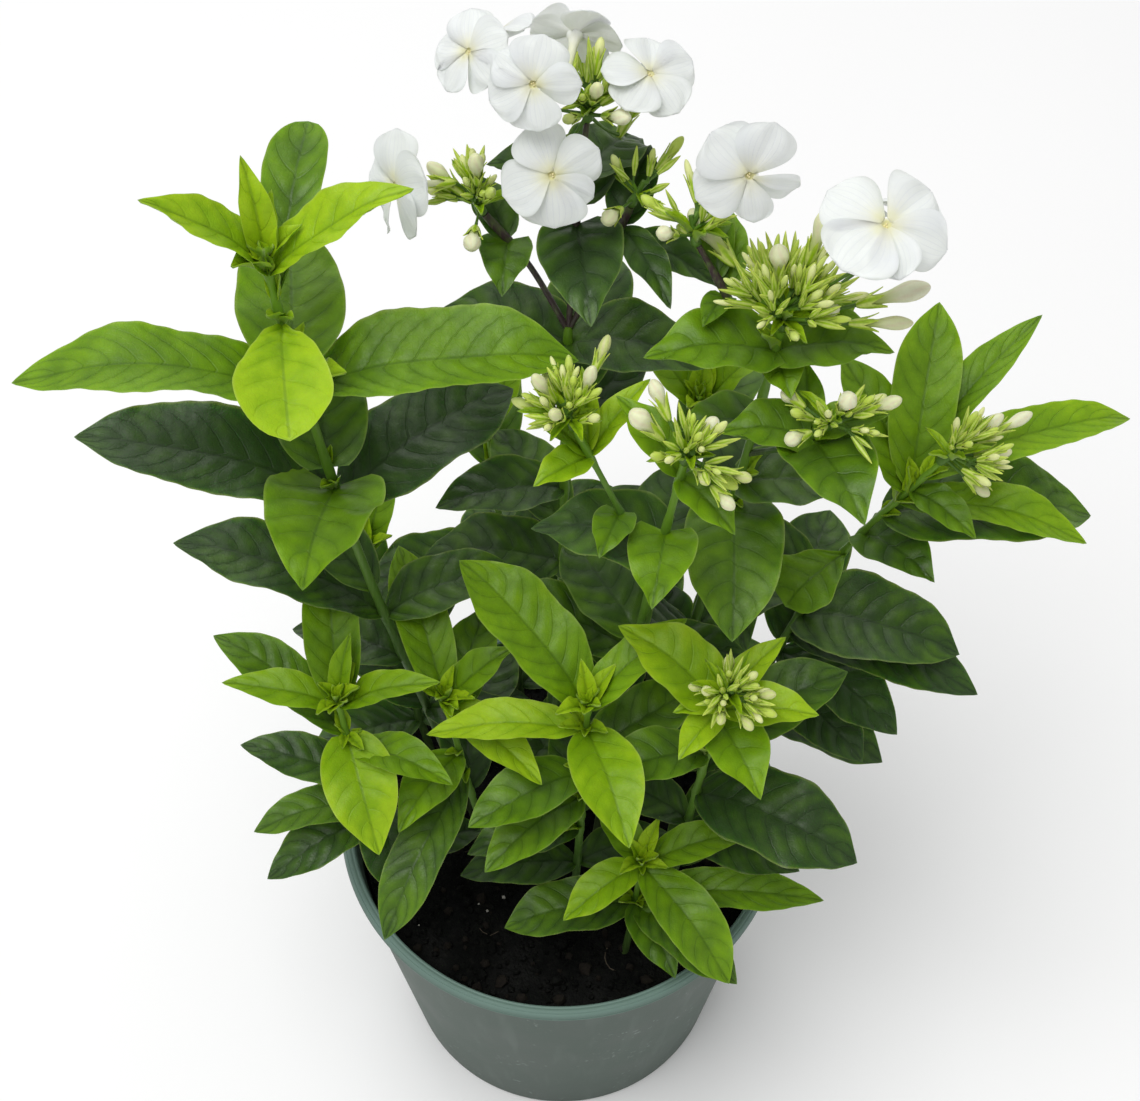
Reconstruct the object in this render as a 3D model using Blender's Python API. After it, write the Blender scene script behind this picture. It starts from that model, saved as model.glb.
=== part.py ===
"""Potted garden phlox in flower: leafy stems, bud heads and white blooms in a round nursery pot.

Sizes in the tables are millimetres and degrees, and the meshes are metres, +Z up.
The origin is the middle of the pot's foot, and the plant is looked at from -Y.
Azimuth is counted from +X towards +Y, rise from the horizontal.
"""
import math
import random

import bmesh
import bpy
from mathutils import Matrix, Vector, noise
from mathutils.bvhtree import BVHTree

MM = 0.001

# Pot
POT_HEIGHT = 136.0
RIM_RADIUS = 83.0
FOOT_RADIUS = 64.0
POT_WALL = 1.8
POT_FLOOR = 2.5
LIP_DEPTH = 4.6
LIP_REACH = 3.0
BEAD_DEPTH = 2.2
BEAD_REACH = 1.4
POT_SIDES = 32
DRAIN_HOLES = 6
DRAIN_RADIUS = 4.5
DRAIN_RING = 48.0

# Soil
SOIL_TOP = 121.0
SOIL_LUMP = 2.2
SOIL_RINGS = 2
SOIL_SIDES = 20
HOLE_SIDES = 6
FIT_GAP = 0.35
STEM_FOOT = 100.0
HOLE_GAP = 0.6

# Stems
STEM_SIDES = 5
BRANCH_SIDES = 4
STEM_RINGS = 6
BRANCH_RINGS = 4

# Leaves
LONG_RINGS = (0.1, 0.32, 0.58, 0.82)
MIDDLE_RINGS = (0.13, 0.44, 0.78)
SHORT_RINGS = (0.3, 0.68)
LONG_LEAF = 58.0
SHORT_LEAF = 25.0
ROOT_STEP = 0.4
KEEL = 1.3
OLD_ARCH = 0.13
YOUNG_ARCH = 0.09
OLD_FOLD = 0.16
YOUNG_FOLD = 0.34
GUARD = 1.1
OWN_GUARD = 0.4
FREE_FROM = 0.2

# Buds and blooms
SEPALS = 5
PETALS = 5
PEDICEL_RADIUS = 0.65
KNOT_RADIUS = 1.9
PEDUNCLE = 6.0
SMALL_BUD_SIDES = 4
SMALL_BUD_LENGTH = (8.0, 11.5)
SMALL_BUD_RADIUS = (1.1, 1.7)
SMALL_BUD_REACH = (3.5, 7.0)
BUD_GUARD = 0.5
DOME = (18.0, 80.0)
CALYX_LENGTH = 8.0
CALYX_RADIUS = 2.5
TUBE_LIFT = 4.0
TUBE_LENGTH = 15.0
TUBE_RADIUS = 0.9
THROAT_RADIUS = 2.3
PETAL_RINGS = ((0.46, 0.86), (0.76, 1.0), (0.95, 0.70))
PETAL_BREADTH = 0.58
PETAL_REACH = 0.94
PETAL_THICKNESS = 1.2
PETAL_LEAN = 9.0
PETAL_DROP = 0.16
GOLDEN_ANGLE = 137.5

STEMS = {
    # name: (foot radius, tip radius, points from the soil to the tip)
    "stem_tall_left": (2.4, 1.3, ((-30, 6), (-46, 4, 200), (-60, -4, 300), (-70, -6, 390), (-75, 0, 432))),
    "stem_left_shoot": (2.1, 1.2, ((-46, -22), (-58, -28, 170), (-68, -28, 220), (-71, -26, 257))),
    "stem_left_middle": (2.0, 1.2, ((-20, -16), (-30, -22, 180), (-37, -23, 254))),
    "stem_centre_shoot": (2.2, 1.2, ((4, -30), (7, -36, 190), (9, -40, 277))),
    "stem_front_shoot": (1.9, 1.2, ((22, -52), (26, -50, 150), (28, -47, 186))),
    "stem_budding": (2.2, 1.2, ((38, -28), (45, -34, 200), (50, -45, 290))),
    "stem_centre_back": (2.5, 1.5, ((-4, 20), (0, 24, 220), (3, 30, 373))),
    "stem_right": (2.5, 1.4, ((30, 8), (42, 10, 220), (54, 6, 330), (60, 0, 405))),
    "stem_inner": (2.3, 1.3, ((12, -4), (20, -10, 220), (28, -22, 320), (34, -30, 385))),
    "stem_far_right": (2.1, 1.0, ((52, 12), (70, 14, 200), (88, 10, 282), (112, 3, 343))),
    "stem_back_left": (2.3, 1.2, ((-14, 46), (-20, 54, 220), (-24, 62, 290))),
    "stem_back_right": (2.3, 1.2, ((30, 42), (40, 54, 220), (46, 62, 300))),
    "stem_side_left": (2.2, 1.2, ((-46, 26), (-60, 40, 180), (-68, 48, 238))),
}

BRANCHES = {
    # name: (stem, points from the stem's axis to the tip)
    "centre": ("stem_centre_back", ((3, 30, 371), (6, 38, 420), (8, 42, 440))),
    "left": ("stem_centre_back", ((3, 30, 371), (-8, 34, 394), (-20, 36, 412))),
    "upper_right": ("stem_centre_back", ((3, 30, 371), (13, 33, 395), (20, 35, 416))),
    "right_back": ("stem_right", ((58, 2, 384), (46, 12, 405), (38, 18, 418))),
    "right_low": ("stem_right", ((56, 5, 345), (66, -8, 365), (73, -16, 383))),
    "inner_left": ("stem_inner", ((28, -22, 322), (18, -22, 352), (5, -16, 382))),
}

LEAVES = {
    # stem: (height on the stem, azimuth, rise, length, width, youth from 0 to 1)
    "stem_tall_left": (
        (427, -171, 48, 42, 15, 0.9),
        (427, 10, 32, 46, 17, 0.85),
        (430, 110, 67, 30, 9, 1.0),
        (430, 75, 60, 20, 7, 1.0),
        (429, -126, 43, 16, 8, 1.0),
        (418, 82, 22, 52, 17, 0.45),
        (412, -82, 6, 44, 25, 0.9),
        (398, 96, 0, 46, 30, 0.42),
        (386, -172, 13, 77, 25, 0.6),
        (386, 4, 6, 76, 27, 0.55),
        (388, -158, 36, 20, 9, 1.0),
        (388, -24, 40, 20, 9, 1.0),
        (343, -97, 12, 44, 34, 0.58),
        (352, 100, 16, 46, 28, 0.3),
        (334, 177, 20, 79, 28, 0.12),
        (334, 38, 6, 64, 31, 0.12),
        (270, 170, 20, 71, 25, 0.1),
        (270, 20, 8, 44, 22, 0.15),
        (240, 160, -4, 42, 22, 0.1),
    ),
    "stem_left_shoot": (
        (254, 96, 36, 48, 18, 0.55),
        (254, 175, 14, 38, 13, 0.8),
        (254, 1, 23, 36, 13, 0.75),
        (256, 72, 52, 24, 8, 0.75),
        (256, -100, 40, 12, 5, 1.0),
        (238, -72, -27, 41, 24, 0.9),
        (238, 150, 24, 54, 18, 0.4),
        (230, -28, 12, 40, 16, 0.55),
        (204, 168, 17, 46, 17, 0.1),
        (196, -163, 0, 43, 17, 0.3),
        (186, -150, -6, 46, 18, 0.2),
        (190, -76, -9, 37, 20, 0.1),
    ),
    "stem_left_middle": (
        (251, 119, 34, 54, 17, 0.55),
        (251, 22, 37, 31, 13, 0.55),
        (252, -60, 42, 13, 5, 1.0),
        (240, 74, 12, 42, 18, 0.45),
        (251, -41, -8, 42, 16, 1.0),
        (218, -122, 2, 36, 17, 0.55),
        (206, -116, -19, 63, 18, 0.25),
    ),
    "stem_centre_shoot": (
        (274, 137, 28, 61, 24, 0.5),
        (274, 45, 28, 42, 14, 0.6),
        (276, 106, 64, 18, 6, 1.0),
        (276, -100, 48, 12, 5, 1.0),
        (262, 179, -5, 51, 14, 0.9),
        (262, -72, -6, 42, 22, 0.85),
        (232, -150, 3, 43, 20, 0.5),
        (240, 30, 12, 46, 20, 0.35),
        (214, -140, -2, 42, 20, 0.4),
        (190, -168, -6, 40, 20, 0.2),
    ),
    "stem_front_shoot": (
        (184, -147, -14, 33, 15, 0.75),
        (184, 16, 13, 40, 14, 0.6),
        (184, -52, -16, 50, 20, 0.55),
        (184, 128, 22, 28, 12, 0.6),
        (185, -90, 60, 8, 4, 1.0),
        (160, -64, -8, 31, 17, 0.25),
        (158, -38, -6, 47, 20, 0.25),
        (158, -170, -3, 47, 22, 0.3),
        (160, -3, 7, 66, 16, 0.5),
    ),
    "stem_budding": (
        (283, 146, 20, 40, 22, 0.95),
        (283, 40, 30, 29, 11, 0.95),
        (281, -8, 8, 30, 15, 0.95),
        (281, -130, -8, 21, 11, 1.0),
        (274, -65, -8, 29, 20, 0.7),
        (284, -165, 10, 16, 8, 1.0),
        (246, 23, 22, 52, 22, 0.3),
        (246, -160, 10, 42, 20, 0.4),
        (214, -24, -5, 58, 31, 0.12),
        (182, -22, -2, 42, 22, 0.1),
    ),
    "stem_centre_back": (
        (366, 160, 0, 40, 25, 0.12),
        (366, -12, 0, 43, 27, 0.12),
        (340, 75, 15, 54, 27, 0.12),
        (300, -165, 6, 42, 22, 0.1),
        (262, 178, -2, 47, 27, 0.1),
        (262, -6, -3, 38, 26, 0.12),
    ),
    "stem_right": (
        (396, -170, 6, 37, 24, 0.55),
        (396, -8, 8, 32, 22, 0.45),
        (394, -75, -8, 15, 13, 0.7),
        (392, 34, 22, 30, 16, 0.65),
        (362, -165, 8, 24, 18, 0.35),
        (330, -4, 0, 38, 24, 0.25),
        (320, -92, -10, 46, 30, 0.45),
        (290, -75, -12, 34, 18, 0.15),
        (300, 70, 12, 50, 26, 0.15),
    ),
    "stem_inner": (
        (378, -48, -12, 22, 13, 0.55),
        (378, 135, 30, 28, 12, 0.6),
        (348, -100, -8, 25, 20, 0.55),
        (340, 172, 2, 38, 29, 0.1),
        (280, 121, 0, 44, 24, 0.15),
        (250, 110, 5, 42, 22, 0.15),
    ),
    "stem_far_right": (
        (328, 79, 46, 57, 20, 0.55),
        (326, 124, 38, 46, 18, 0.5),
        (320, 43, 41, 71, 13, 0.6),
        (334, 21, 3, 72, 16, 0.6),
        (312, 2, -2, 66, 34, 0.3),
        (321, -14, -7, 58, 16, 0.6),
        (328, -42, -10, 25, 12, 0.5),
        (302, -45, 2, 28, 20, 0.3),
        (290, -140, -12, 27, 24, 0.5),
        (250, -18, 1, 54, 34, 0.05),
        (238, -22, 0, 66, 24, 0.1),
        (226, -40, -2, 50, 24, 0.1),
        (212, -46, -8, 46, 24, 0.1),
    ),
    "stem_back_left": (
        (287, 60, 40, 34, 14, 0.7),
        (287, 172, 36, 34, 14, 0.7),
        (287, 110, 60, 20, 8, 0.9),
        (268, 95, 12, 50, 24, 0.3),
    ),
    "stem_back_right": (
        (297, 20, 38, 36, 15, 0.7),
        (297, 140, 36, 36, 15, 0.7),
        (297, 80, 60, 20, 8, 0.9),
        (276, 60, 12, 52, 25, 0.3),
    ),
    "stem_side_left": (
        (235, 70, 40, 34, 14, 0.6),
        (235, 165, 34, 36, 14, 0.6),
        (216, 120, 12, 48, 22, 0.25),
    ),
}

BRANCH_LEAVES = {
    # branch: (height, azimuth, rise, length, width, youth)
    "centre": (
        (424, 34, -4, 34, 21, 0.12),
        (424, 172, 2, 26, 18, 0.12),
        (408, -84, -2, 37, 24, 0.15),
        (414, 80, 15, 34, 20, 0.15),
    ),
    "left": (
        (403, -94, -4, 20, 15, 0.3),
        (403, 120, 22, 22, 12, 0.25),
    ),
    "upper_right": (
        (409, -64, -8, 30, 12, 0.15),
        (405, -18, -18, 32, 13, 0.15),
        (409, 70, 20, 26, 14, 0.15),
    ),
    "right_back": (
        (409, 116, 40, 28, 10, 0.5),
        (405, 88, 36, 27, 11, 0.5),
        (405, -120, 5, 14, 9, 0.5),
    ),
    "right_low": (
        (375, -68, 0, 33, 26, 0.4),
        (375, -176, 10, 26, 17, 0.5),
        (372, 90, 40, 22, 10, 0.6),
        (376, 2, 22, 22, 12, 0.65),
    ),
    "inner_left": (
        (373, 42, 36, 27, 9, 0.85),
        (373, -145, 2, 19, 11, 0.85),
        (374, 96, 48, 24, 7, 0.9),
        (373, 152, 26, 23, 8, 0.85),
        (352, -110, 4, 18, 12, 0.5),
    ),
}

OLD_PAIRS = {
    # stem: (lowest height, highest height, first azimuth, length, width)
    "stem_tall_left": (165, 320, 60, 48, 22),
    "stem_left_shoot": (150, 176, 20, 36, 17),
    "stem_left_middle": (150, 226, 40, 42, 19),
    "stem_centre_shoot": (160, 220, 20, 42, 20),
    "stem_budding": (150, 235, 60, 46, 22),
    "stem_centre_back": (160, 330, 45, 50, 24),
    "stem_right": (165, 280, 20, 52, 25),
    "stem_inner": (150, 310, 80, 44, 21),
    "stem_far_right": (150, 300, 60, 52, 25),
    "stem_back_left": (145, 255, 20, 52, 24),
    "stem_back_right": (145, 262, 10, 52, 25),
    "stem_side_left": (145, 205, 30, 46, 21),
}
INTERNODE = 40.0
FRONT_ARC = (-150.0, -30.0)
OLD_YOUTH = 0.12

HEADS = {
    # head: (carrier, azimuth, rise, small buds, large buds)
    # large bud: (azimuth, rise, reach, length, radius)
    "head_centre": ("centre", 90, 70, 5, ((-57, 45, 14, 13, 2.2), (-47, 66, 14, 12, 1.9))),
    "head_left": ("left", 160, 60, 4, (
        (-96, 8, 13, 10, 2.5),
        (-90, 77, 19, 14, 2.2),
        (-178, 54, 13, 14, 2.2),
    )),
    "head_upper_right": ("upper_right", 20, 62, 3, ((-118, 22, 13, 11, 2.3),)),
    "head_right": ("stem_right", 80, 72, 8, (
        (138, 32, 30, 20, 3.2),
        (110, 72, 18, 12, 2.7),
        (51, 60, 26, 17, 2.8),
        (4, 17, 30, 20, 2.9),
        (-5, 6, 26, 17, 2.0),
        (0, 24, 12, 8, 1.9),
    )),
    "head_right_back": ("right_back", 110, 60, 4, ((-140, 40, 13, 9, 2.1),)),
    "head_right_low": ("right_low", -50, 55, 2, (
        (150, 20, 12, 8, 2.0),
        (-50, 72, 13, 11, 2.6),
        (-147, 12, 11, 9, 2.2),
        (-10, 40, 17, 12, 1.9),
    )),
    "head_inner": ("stem_inner", -60, 62, 3, (
        (164, 44, 15, 13, 2.9),
        (40, 40, 10, 8, 2.1),
        (120, 38, 17, 12, 2.2),
        (-25, 4, 15, 8, 1.6),
        (-66, 20, 10, 8, 1.5),
        (-50, -8, 15, 9, 1.9),
    )),
    "head_inner_left": ("inner_left", 140, 60, 3, (
        (176, 62, 16, 12, 1.9),
        (21, 74, 16, 12, 1.9),
        (-119, 56, 14, 11, 1.8),
        (60, 40, 20, 12, 1.6),
    )),
    "head_far_right": ("stem_far_right", 0, 40, 3, (
        (25, 32, 15, 13, 2.0),
        (15, 24, 22, 15, 2.0),
        (10, -2, 15, 12, 2.0),
        (-25, -30, 13, 10, 1.8),
    )),
    "head_budding": ("stem_budding", -60, 62, 4, (
        (-100, 22, 11, 8, 1.5),
        (-23, 32, 13, 10, 1.6),
        (-64, 12, 12, 9, 1.6),
        (-178, 25, 9, 7, 1.4),
    )),
}

BLOOMS = {
    # bloom: (head, centre before it is set out along its facing, azimuth, rise, diameter, turn of the petals)
    "bloom_centre": ("head_centre", (-5, 30, 464), -100, 38, 25, 39),
    "bloom_upper_left": ("head_centre", (-20, 41, 463), -150, 48, 25, 30),
    "bloom_top": ("head_centre", (4, 50, 457), 82, 6, 26, 0),
    "bloom_upper_right": ("head_centre", (23, 42, 452), -46, 72, 27, 20),
    "bloom_low": ("head_centre", (-1, 22, 441), -92, 36, 28, 20),
    "bloom_back_left": ("head_centre", (-14, 62, 446), 115, 40, 26, 0),
    "bloom_back_right": ("head_centre", (22, 60, 434), 60, 36, 26, 40),
    "bloom_side": ("head_left", (-38, 30, 429), -150, 22, 31, 10),
    "bloom_right_back": ("head_right_back", (48, 10, 455), -90, 18, 30, 32),
    "bloom_right": ("head_right", (81, -6, 446), -70, 74, 35, 16),
    "bloom_behind_right": ("head_right", (84, 28, 416), 80, 32, 26, 15),
}

COLOURS = {
    # kind: (red, green, blue), roughness
    "pot": ((0.105, 0.165, 0.135), 0.55),
    "soil": ((0.012, 0.009, 0.007), 0.95),
    "stem": ((0.10, 0.26, 0.03), 0.50),
    "head": ((0.30, 0.42, 0.06), 0.55),
    "bloom": ((0.86, 0.88, 0.90), 0.60),
}


def ray(azimuth, rise):
    """Unit vector at an azimuth and a rise in degrees."""
    turn = math.radians(azimuth)
    lift = math.radians(rise)
    return Vector((math.cos(turn) * math.cos(lift), math.sin(turn) * math.cos(lift), math.sin(lift)))


def smooth_path(knots, count):
    """Points along a Catmull-Rom curve through the knots, evenly spread by knot number."""
    points = [Vector(k) for k in knots]
    points = [2 * points[0] - points[1]] + points + [2 * points[-1] - points[-2]]
    spans = len(knots) - 1
    path = []
    for step in range(count):
        place = spans * step / (count - 1)
        span = min(int(place), spans - 1)
        t = place - span
        a, b, c, d = points[span:span + 4]
        bend = 2 * a - 5 * b + 4 * c - d
        swing = 3 * b - a - 3 * c + d
        path.append(0.5 * (2 * b + (c - a) * t + bend * t * t + swing * t ** 3))
    return path


def at_height(path, height):
    """Point of a rising path at a height."""
    for low, high in zip(path, path[1:]):
        if height <= high.z:
            share = (height - low.z) / (high.z - low.z)
            return low.lerp(high, max(share, 0.0))
    return path[-1].copy()


def stem_knots(name):
    """A stem's points, with its foot standing upright in the soil."""
    knots = STEMS[name][2]
    x, y = knots[0]
    return ((x, y, STEM_FOOT),) + knots[1:]


def tube(path, radii, sides):
    """Closed tube of triangles along a path."""
    verts = []
    faces = []
    side = None
    for index, point in enumerate(path):
        ahead = path[min(index + 1, len(path) - 1)] - path[max(index - 1, 0)]
        ahead.normalize()
        side = ahead.orthogonal() if side is None else side - ahead * side.dot(ahead)
        side.normalize()
        other = ahead.cross(side)
        for spoke in range(sides):
            turn = math.tau * spoke / sides
            verts.append(point + (side * math.cos(turn) + other * math.sin(turn)) * radii[index])
    join_rings(faces, len(path), sides)
    for spoke in range(1, sides - 1):
        faces.append((0, spoke + 1, spoke))
        last = (len(path) - 1) * sides
        faces.append((last, last + spoke, last + spoke + 1))
    return verts, faces


def join_rings(faces, rings, sides, first=0):
    """Triangles between rings of equal size that follow each other in the list."""
    for ring in range(rings - 1):
        for spoke in range(sides):
            a = first + ring * sides + spoke
            b = first + ring * sides + (spoke + 1) % sides
            faces.append((a, b, b + sides))
            faces.append((a, b + sides, a + sides))


def half_width(t, width, length):
    """Half the width of a leaf at a share of its length: lance-shaped, or heart-shaped if it is broad."""
    broad = min(max((width / length - 0.45) / 0.3, 0.0), 1.0)
    rise = 0.62 - 0.3 * broad
    fall = 0.80 + 0.05 * broad
    peak = rise / (rise + fall)
    return 0.5 * width * (t / peak) ** rise * ((1 - t) / (1 - peak)) ** fall


def leaf_frame(base, leaf):
    """The directions of a leaf and the function that gives a point of its upper face."""
    azimuth, rise, length, width, youth = leaf
    along = ray(azimuth, rise)
    side = along.cross(Vector((0, 0, 1))).normalized()
    normal = side.cross(along)
    arch = OLD_ARCH + (YOUNG_ARCH - OLD_ARCH) * youth
    fold = OLD_FOLD + (YOUNG_FOLD - OLD_FOLD) * youth

    def point(t, u, grow=0.0):
        half = half_width(t, width, length) + grow
        lift = arch * length * 4 * t * (1 - t) + fold * half * abs(u)
        return base + along * (length * t) + side * (half * u) + normal * lift

    return point, normal


def blade_faces(rings, root, tip):
    """Triangles of a closed blade over rings of (left, top, right, under), alike on both faces."""
    faces = []
    for corner in range(4):
        after = (corner + 1) % 4
        if root is not None:
            faces.append((root, rings[0][after], rings[0][corner]))
        faces.append((tip, rings[-1][corner], rings[-1][after]))
    for (left, top, right, under), (far_left, far_top, far_right, far_under) in zip(rings, rings[1:]):
        faces.extend(((left, top, far_top), (left, far_top, far_left)))
        faces.extend(((right, far_top, top), (right, far_right, far_top)))
        faces.extend(((left, far_under, under), (left, far_left, far_under)))
        faces.extend(((right, under, far_under), (right, far_under, far_right)))
    return faces


def leaf_solid(base, leaf, start=0.0, guard=0.0):
    """Closed folded blade with a keel below, from inside the stem to the tip."""
    point, normal = leaf_frame(base, leaf)
    length = leaf[2]
    spots = LONG_RINGS
    if length < LONG_LEAF:
        spots = MIDDLE_RINGS if length > SHORT_LEAF else SHORT_RINGS
    verts = [point(max(start, ROOT_STEP / length), 0)]
    rings = []
    for t in spots:
        if t > start:
            keel = KEEL * (1 - 0.5 * t) + guard
            rings.append(tuple(range(len(verts), len(verts) + 4)))
            verts.append(point(t, -1, guard))
            verts.append(point(t, 0) + normal * guard)
            verts.append(point(t, 1, guard))
            verts.append(point(t, 0) - normal * keel)
    verts.append(point(1.0, 0))
    return verts, blade_faces(rings, 0, len(verts) - 1)


def stalked(knot, base, axis, rings, sides):
    """Points and faces of a pedicel from its knot, widening into rings along an axis.

    A ring is (height, radius, peak), and a peak is the height and radius of points between its own.
    """
    toward = (base - knot).normalized()
    side = axis.orthogonal().normalized()
    other = axis.cross(side)
    swing = axis.rotation_difference(toward)
    circles = [(knot + toward * 0.4 * KNOT_RADIUS, swing @ side, swing @ other, PEDICEL_RADIUS, None)]
    for height, radius, peak in rings:
        circles.append((base + axis * height, side, other, radius, peak))
    verts = []
    faces = []
    starts = []
    for centre, ahead, across, radius, peak in circles:
        starts.append((len(verts), sides * 2 if peak else sides))
        for spoke in range(sides):
            turn = math.tau * spoke / sides
            verts.append(centre + (ahead * math.cos(turn) + across * math.sin(turn)) * radius)
            if peak:
                turn = math.tau * (spoke + 0.5) / sides
                spread = ahead * math.cos(turn) + across * math.sin(turn)
                verts.append(base + axis * peak[0] + spread * peak[1])
    for (low, low_count), (high, high_count) in zip(starts, starts[1:]):
        for spoke in range(sides):
            after = (spoke + 1) % sides
            if high_count > low_count:
                a, b = low + spoke, low + after
                p, q, r = high + 2 * spoke, high + 2 * spoke + 1, high + 2 * after
                faces.extend(((a, b, q), (a, q, p), (b, r, q)))
            elif low_count > high_count:
                a, b = high + spoke, high + after
                p, q, r = low + 2 * spoke, low + 2 * spoke + 1, low + 2 * after
                faces.extend(((a, q, b), (a, p, q), (b, q, r)))
            else:
                a, b = low + spoke, low + after
                faces.extend(((a, b, high + after), (a, high + after, high + spoke)))
    for spoke in range(1, sides - 1):
        faces.append((0, spoke + 1, spoke))
    return verts, faces, starts[-1]


def close_top(verts, faces, last, point):
    """Closes the last ring to a point."""
    start, count = last
    verts.append(point)
    for spoke in range(count):
        faces.append((start + spoke, start + (spoke + 1) % count, len(verts) - 1))
    return verts, faces


def bud_solid(knot, bud, guard=0.0):
    """A bud in its calyx on its pedicel, with the sepal points standing out from it."""
    base, axis, length, radius, large = bud
    calyx = min(CALYX_LENGTH, 0.62 * length)
    neck = 0.5 * radius + guard
    crown = (0.55 * calyx, neck + 0.55, (calyx, neck + 1.5))
    belly = (0.74 * length, radius + guard, None)
    if large:
        rings = ((0.0, 0.75 + guard, None), crown, (0.75 * calyx, neck, None), belly)
        verts, faces, last = stalked(knot, base, axis, rings, SEPALS)
    else:
        verts, faces, last = stalked(knot, base, axis, (crown, belly), SMALL_BUD_SIDES)
    return close_top(verts, faces, last, base + axis * (length + guard))


def calyx_solid(knot, base, axis):
    """The open calyx that a bloom stands in, hollowed to a point in the middle, on its pedicel."""
    crown = (0.5 * CALYX_LENGTH, CALYX_RADIUS - 0.2, (CALYX_LENGTH, CALYX_RADIUS + 0.5))
    verts, faces, last = stalked(knot, base, axis, ((0.0, 0.9, None), crown), SEPALS)
    return close_top(verts, faces, last, base + axis * 0.3)


def bloom_pose(bloom):
    """Facing direction of a bloom, its side directions and the foot of its tube."""
    centre, azimuth, rise, _, turn = bloom
    facing = ray(azimuth, rise)
    across = facing.cross(Vector((0, 0, 1))).normalized()
    upward = across.cross(facing)
    spin = Matrix.Rotation(math.radians(turn), 3, facing)
    return facing, spin @ across, spin @ upward, Vector(centre) - facing * TUBE_LENGTH


def bloom_solid(bloom, guard=0.0):
    """A bloom: its tube from the calyx up to the throat, and five petals that each lean over the next."""
    facing, across, upward, _ = bloom_pose(bloom)
    centre = Vector(bloom[0])
    radius = 0.5 * bloom[3]

    def spoke(share):
        turn = math.tau * share / PETALS
        return across * math.cos(turn) + upward * math.sin(turn)

    verts = []
    for height, size in ((-TUBE_LENGTH, TUBE_RADIUS), (-0.3 * TUBE_LENGTH, TUBE_RADIUS * 1.3)):
        for number in range(PETALS):
            verts.append(centre + facing * height + spoke(number - 0.5) * size)
    faces = [(0, number + 1, number) for number in range(1, PETALS - 1)]
    join_rings(faces, 2, PETALS)
    throat = len(verts)
    for number in range(PETALS):
        verts.append(centre + spoke(number - 0.5) * THROAT_RADIUS)
        verts.append(centre + spoke(number) * THROAT_RADIUS - facing * 0.6)
        verts.append(centre + spoke(number) * THROAT_RADIUS + facing * 0.4)
    verts.append(centre - facing * 0.8)
    eye = len(verts) - 1
    for number in range(PETALS):
        low = PETALS + number
        low_after = PETALS + (number + 1) % PETALS
        left = throat + 3 * number
        right = throat + 3 * ((number + 1) % PETALS)
        under = left + 1
        top = left + 2
        faces.extend(((low, low_after, under), (low, under, left), (low_after, right, under)))
        faces.extend(((eye, left, top), (eye, top, right)))
        out = spoke(number)
        lean = Matrix.Rotation(math.radians(PETAL_LEAN), 3, out)
        side = lean @ out.cross(facing)
        normal = side.cross(out)
        rings = [(left, top, right, under)]
        for reach, share in PETAL_RINGS:
            drop = PETAL_DROP * radius * reach ** 2
            middle = centre + out * (radius * PETAL_REACH * reach) - facing * drop
            half = PETAL_BREADTH * radius * share + guard
            thick = 0.5 * PETAL_THICKNESS + guard
            rings.append(tuple(range(len(verts), len(verts) + 4)))
            verts.append(middle - side * half)
            verts.append(middle + normal * thick)
            verts.append(middle + side * half)
            verts.append(middle - normal * thick)
        verts.append(centre + out * (radius + guard) - facing * (PETAL_DROP * radius))
        faces.extend(blade_faces(rings, None, len(verts) - 1))
    return verts, faces


def join_meshes(meshes):
    """One list of points and faces out of several."""
    verts = []
    faces = []
    for more_verts, more_faces in meshes:
        first = len(verts)
        verts.extend(more_verts)
        faces.extend(tuple(first + corner for corner in face) for face in more_faces)
    return verts, faces


class Garden:
    """What has been placed so far, so that each new piece can be bent clear of the other nodes."""

    def __init__(self):
        self.pieces = {}
        self.outer = {}
        self.trees = {}

    def add(self, node, mesh, outer=None):
        self.pieces.setdefault(node, []).append(mesh)
        self.trees[node] = self.tree(self.pieces[node])
        if outer:
            self.outer.setdefault(node, []).append(outer)
            self.trees[node, "outer"] = self.tree(self.outer[node])

    @staticmethod
    def tree(meshes):
        verts, faces = join_meshes(meshes)
        return BVHTree.FromPolygons(verts, faces, all_triangles=True)

    def blocked(self, mesh, node, outer=None):
        """True if the mesh meets another node, or its outer part meets its own node's outer parts."""
        trial = self.tree([mesh])
        for other, tree in self.trees.items():
            if isinstance(other, str) and other != node and tree.overlap(trial):
                return True
        own = self.trees.get((node, "outer"))
        return bool(outer and own and own.overlap(self.tree([outer])))


def tries(turns, lifts, sizes, shrink_cost):
    """Changes of azimuth, rise and size to try, the least costly first."""
    options = []
    for size in sizes:
        for turn in turns:
            for lift in lifts:
                cost = abs(turn) + abs(lift) + shrink_cost * (1 - size)
                options.append((cost, abs(turn), turn, lift, size))
    return [option[2:] for option in sorted(options)]


LEAF_TRIES = tries(
    (0, -5, 5, -10, 10, -16, 16, -24, 24, -34, 34),
    (0, 5, -5, 10, -10, 16, -16, 24, -24),
    (1.0, 0.85, 0.7),
    80,
)
BUD_TRIES = tries((0, -12, 12, -25, 25, -40, 40), (0, -12, 12, -25, 25), (1.0,), 0)
# A bloom's last value is its shift along its facing, and the farthest out costs least
BLOOM_TRIES = tries((0, -8, 8, -16, 16, -24, 24), (0, -8, 8, -16, 16), (0.0, 2.0, -2.0, 4.0, -4.0, 6.0), 4)


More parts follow.
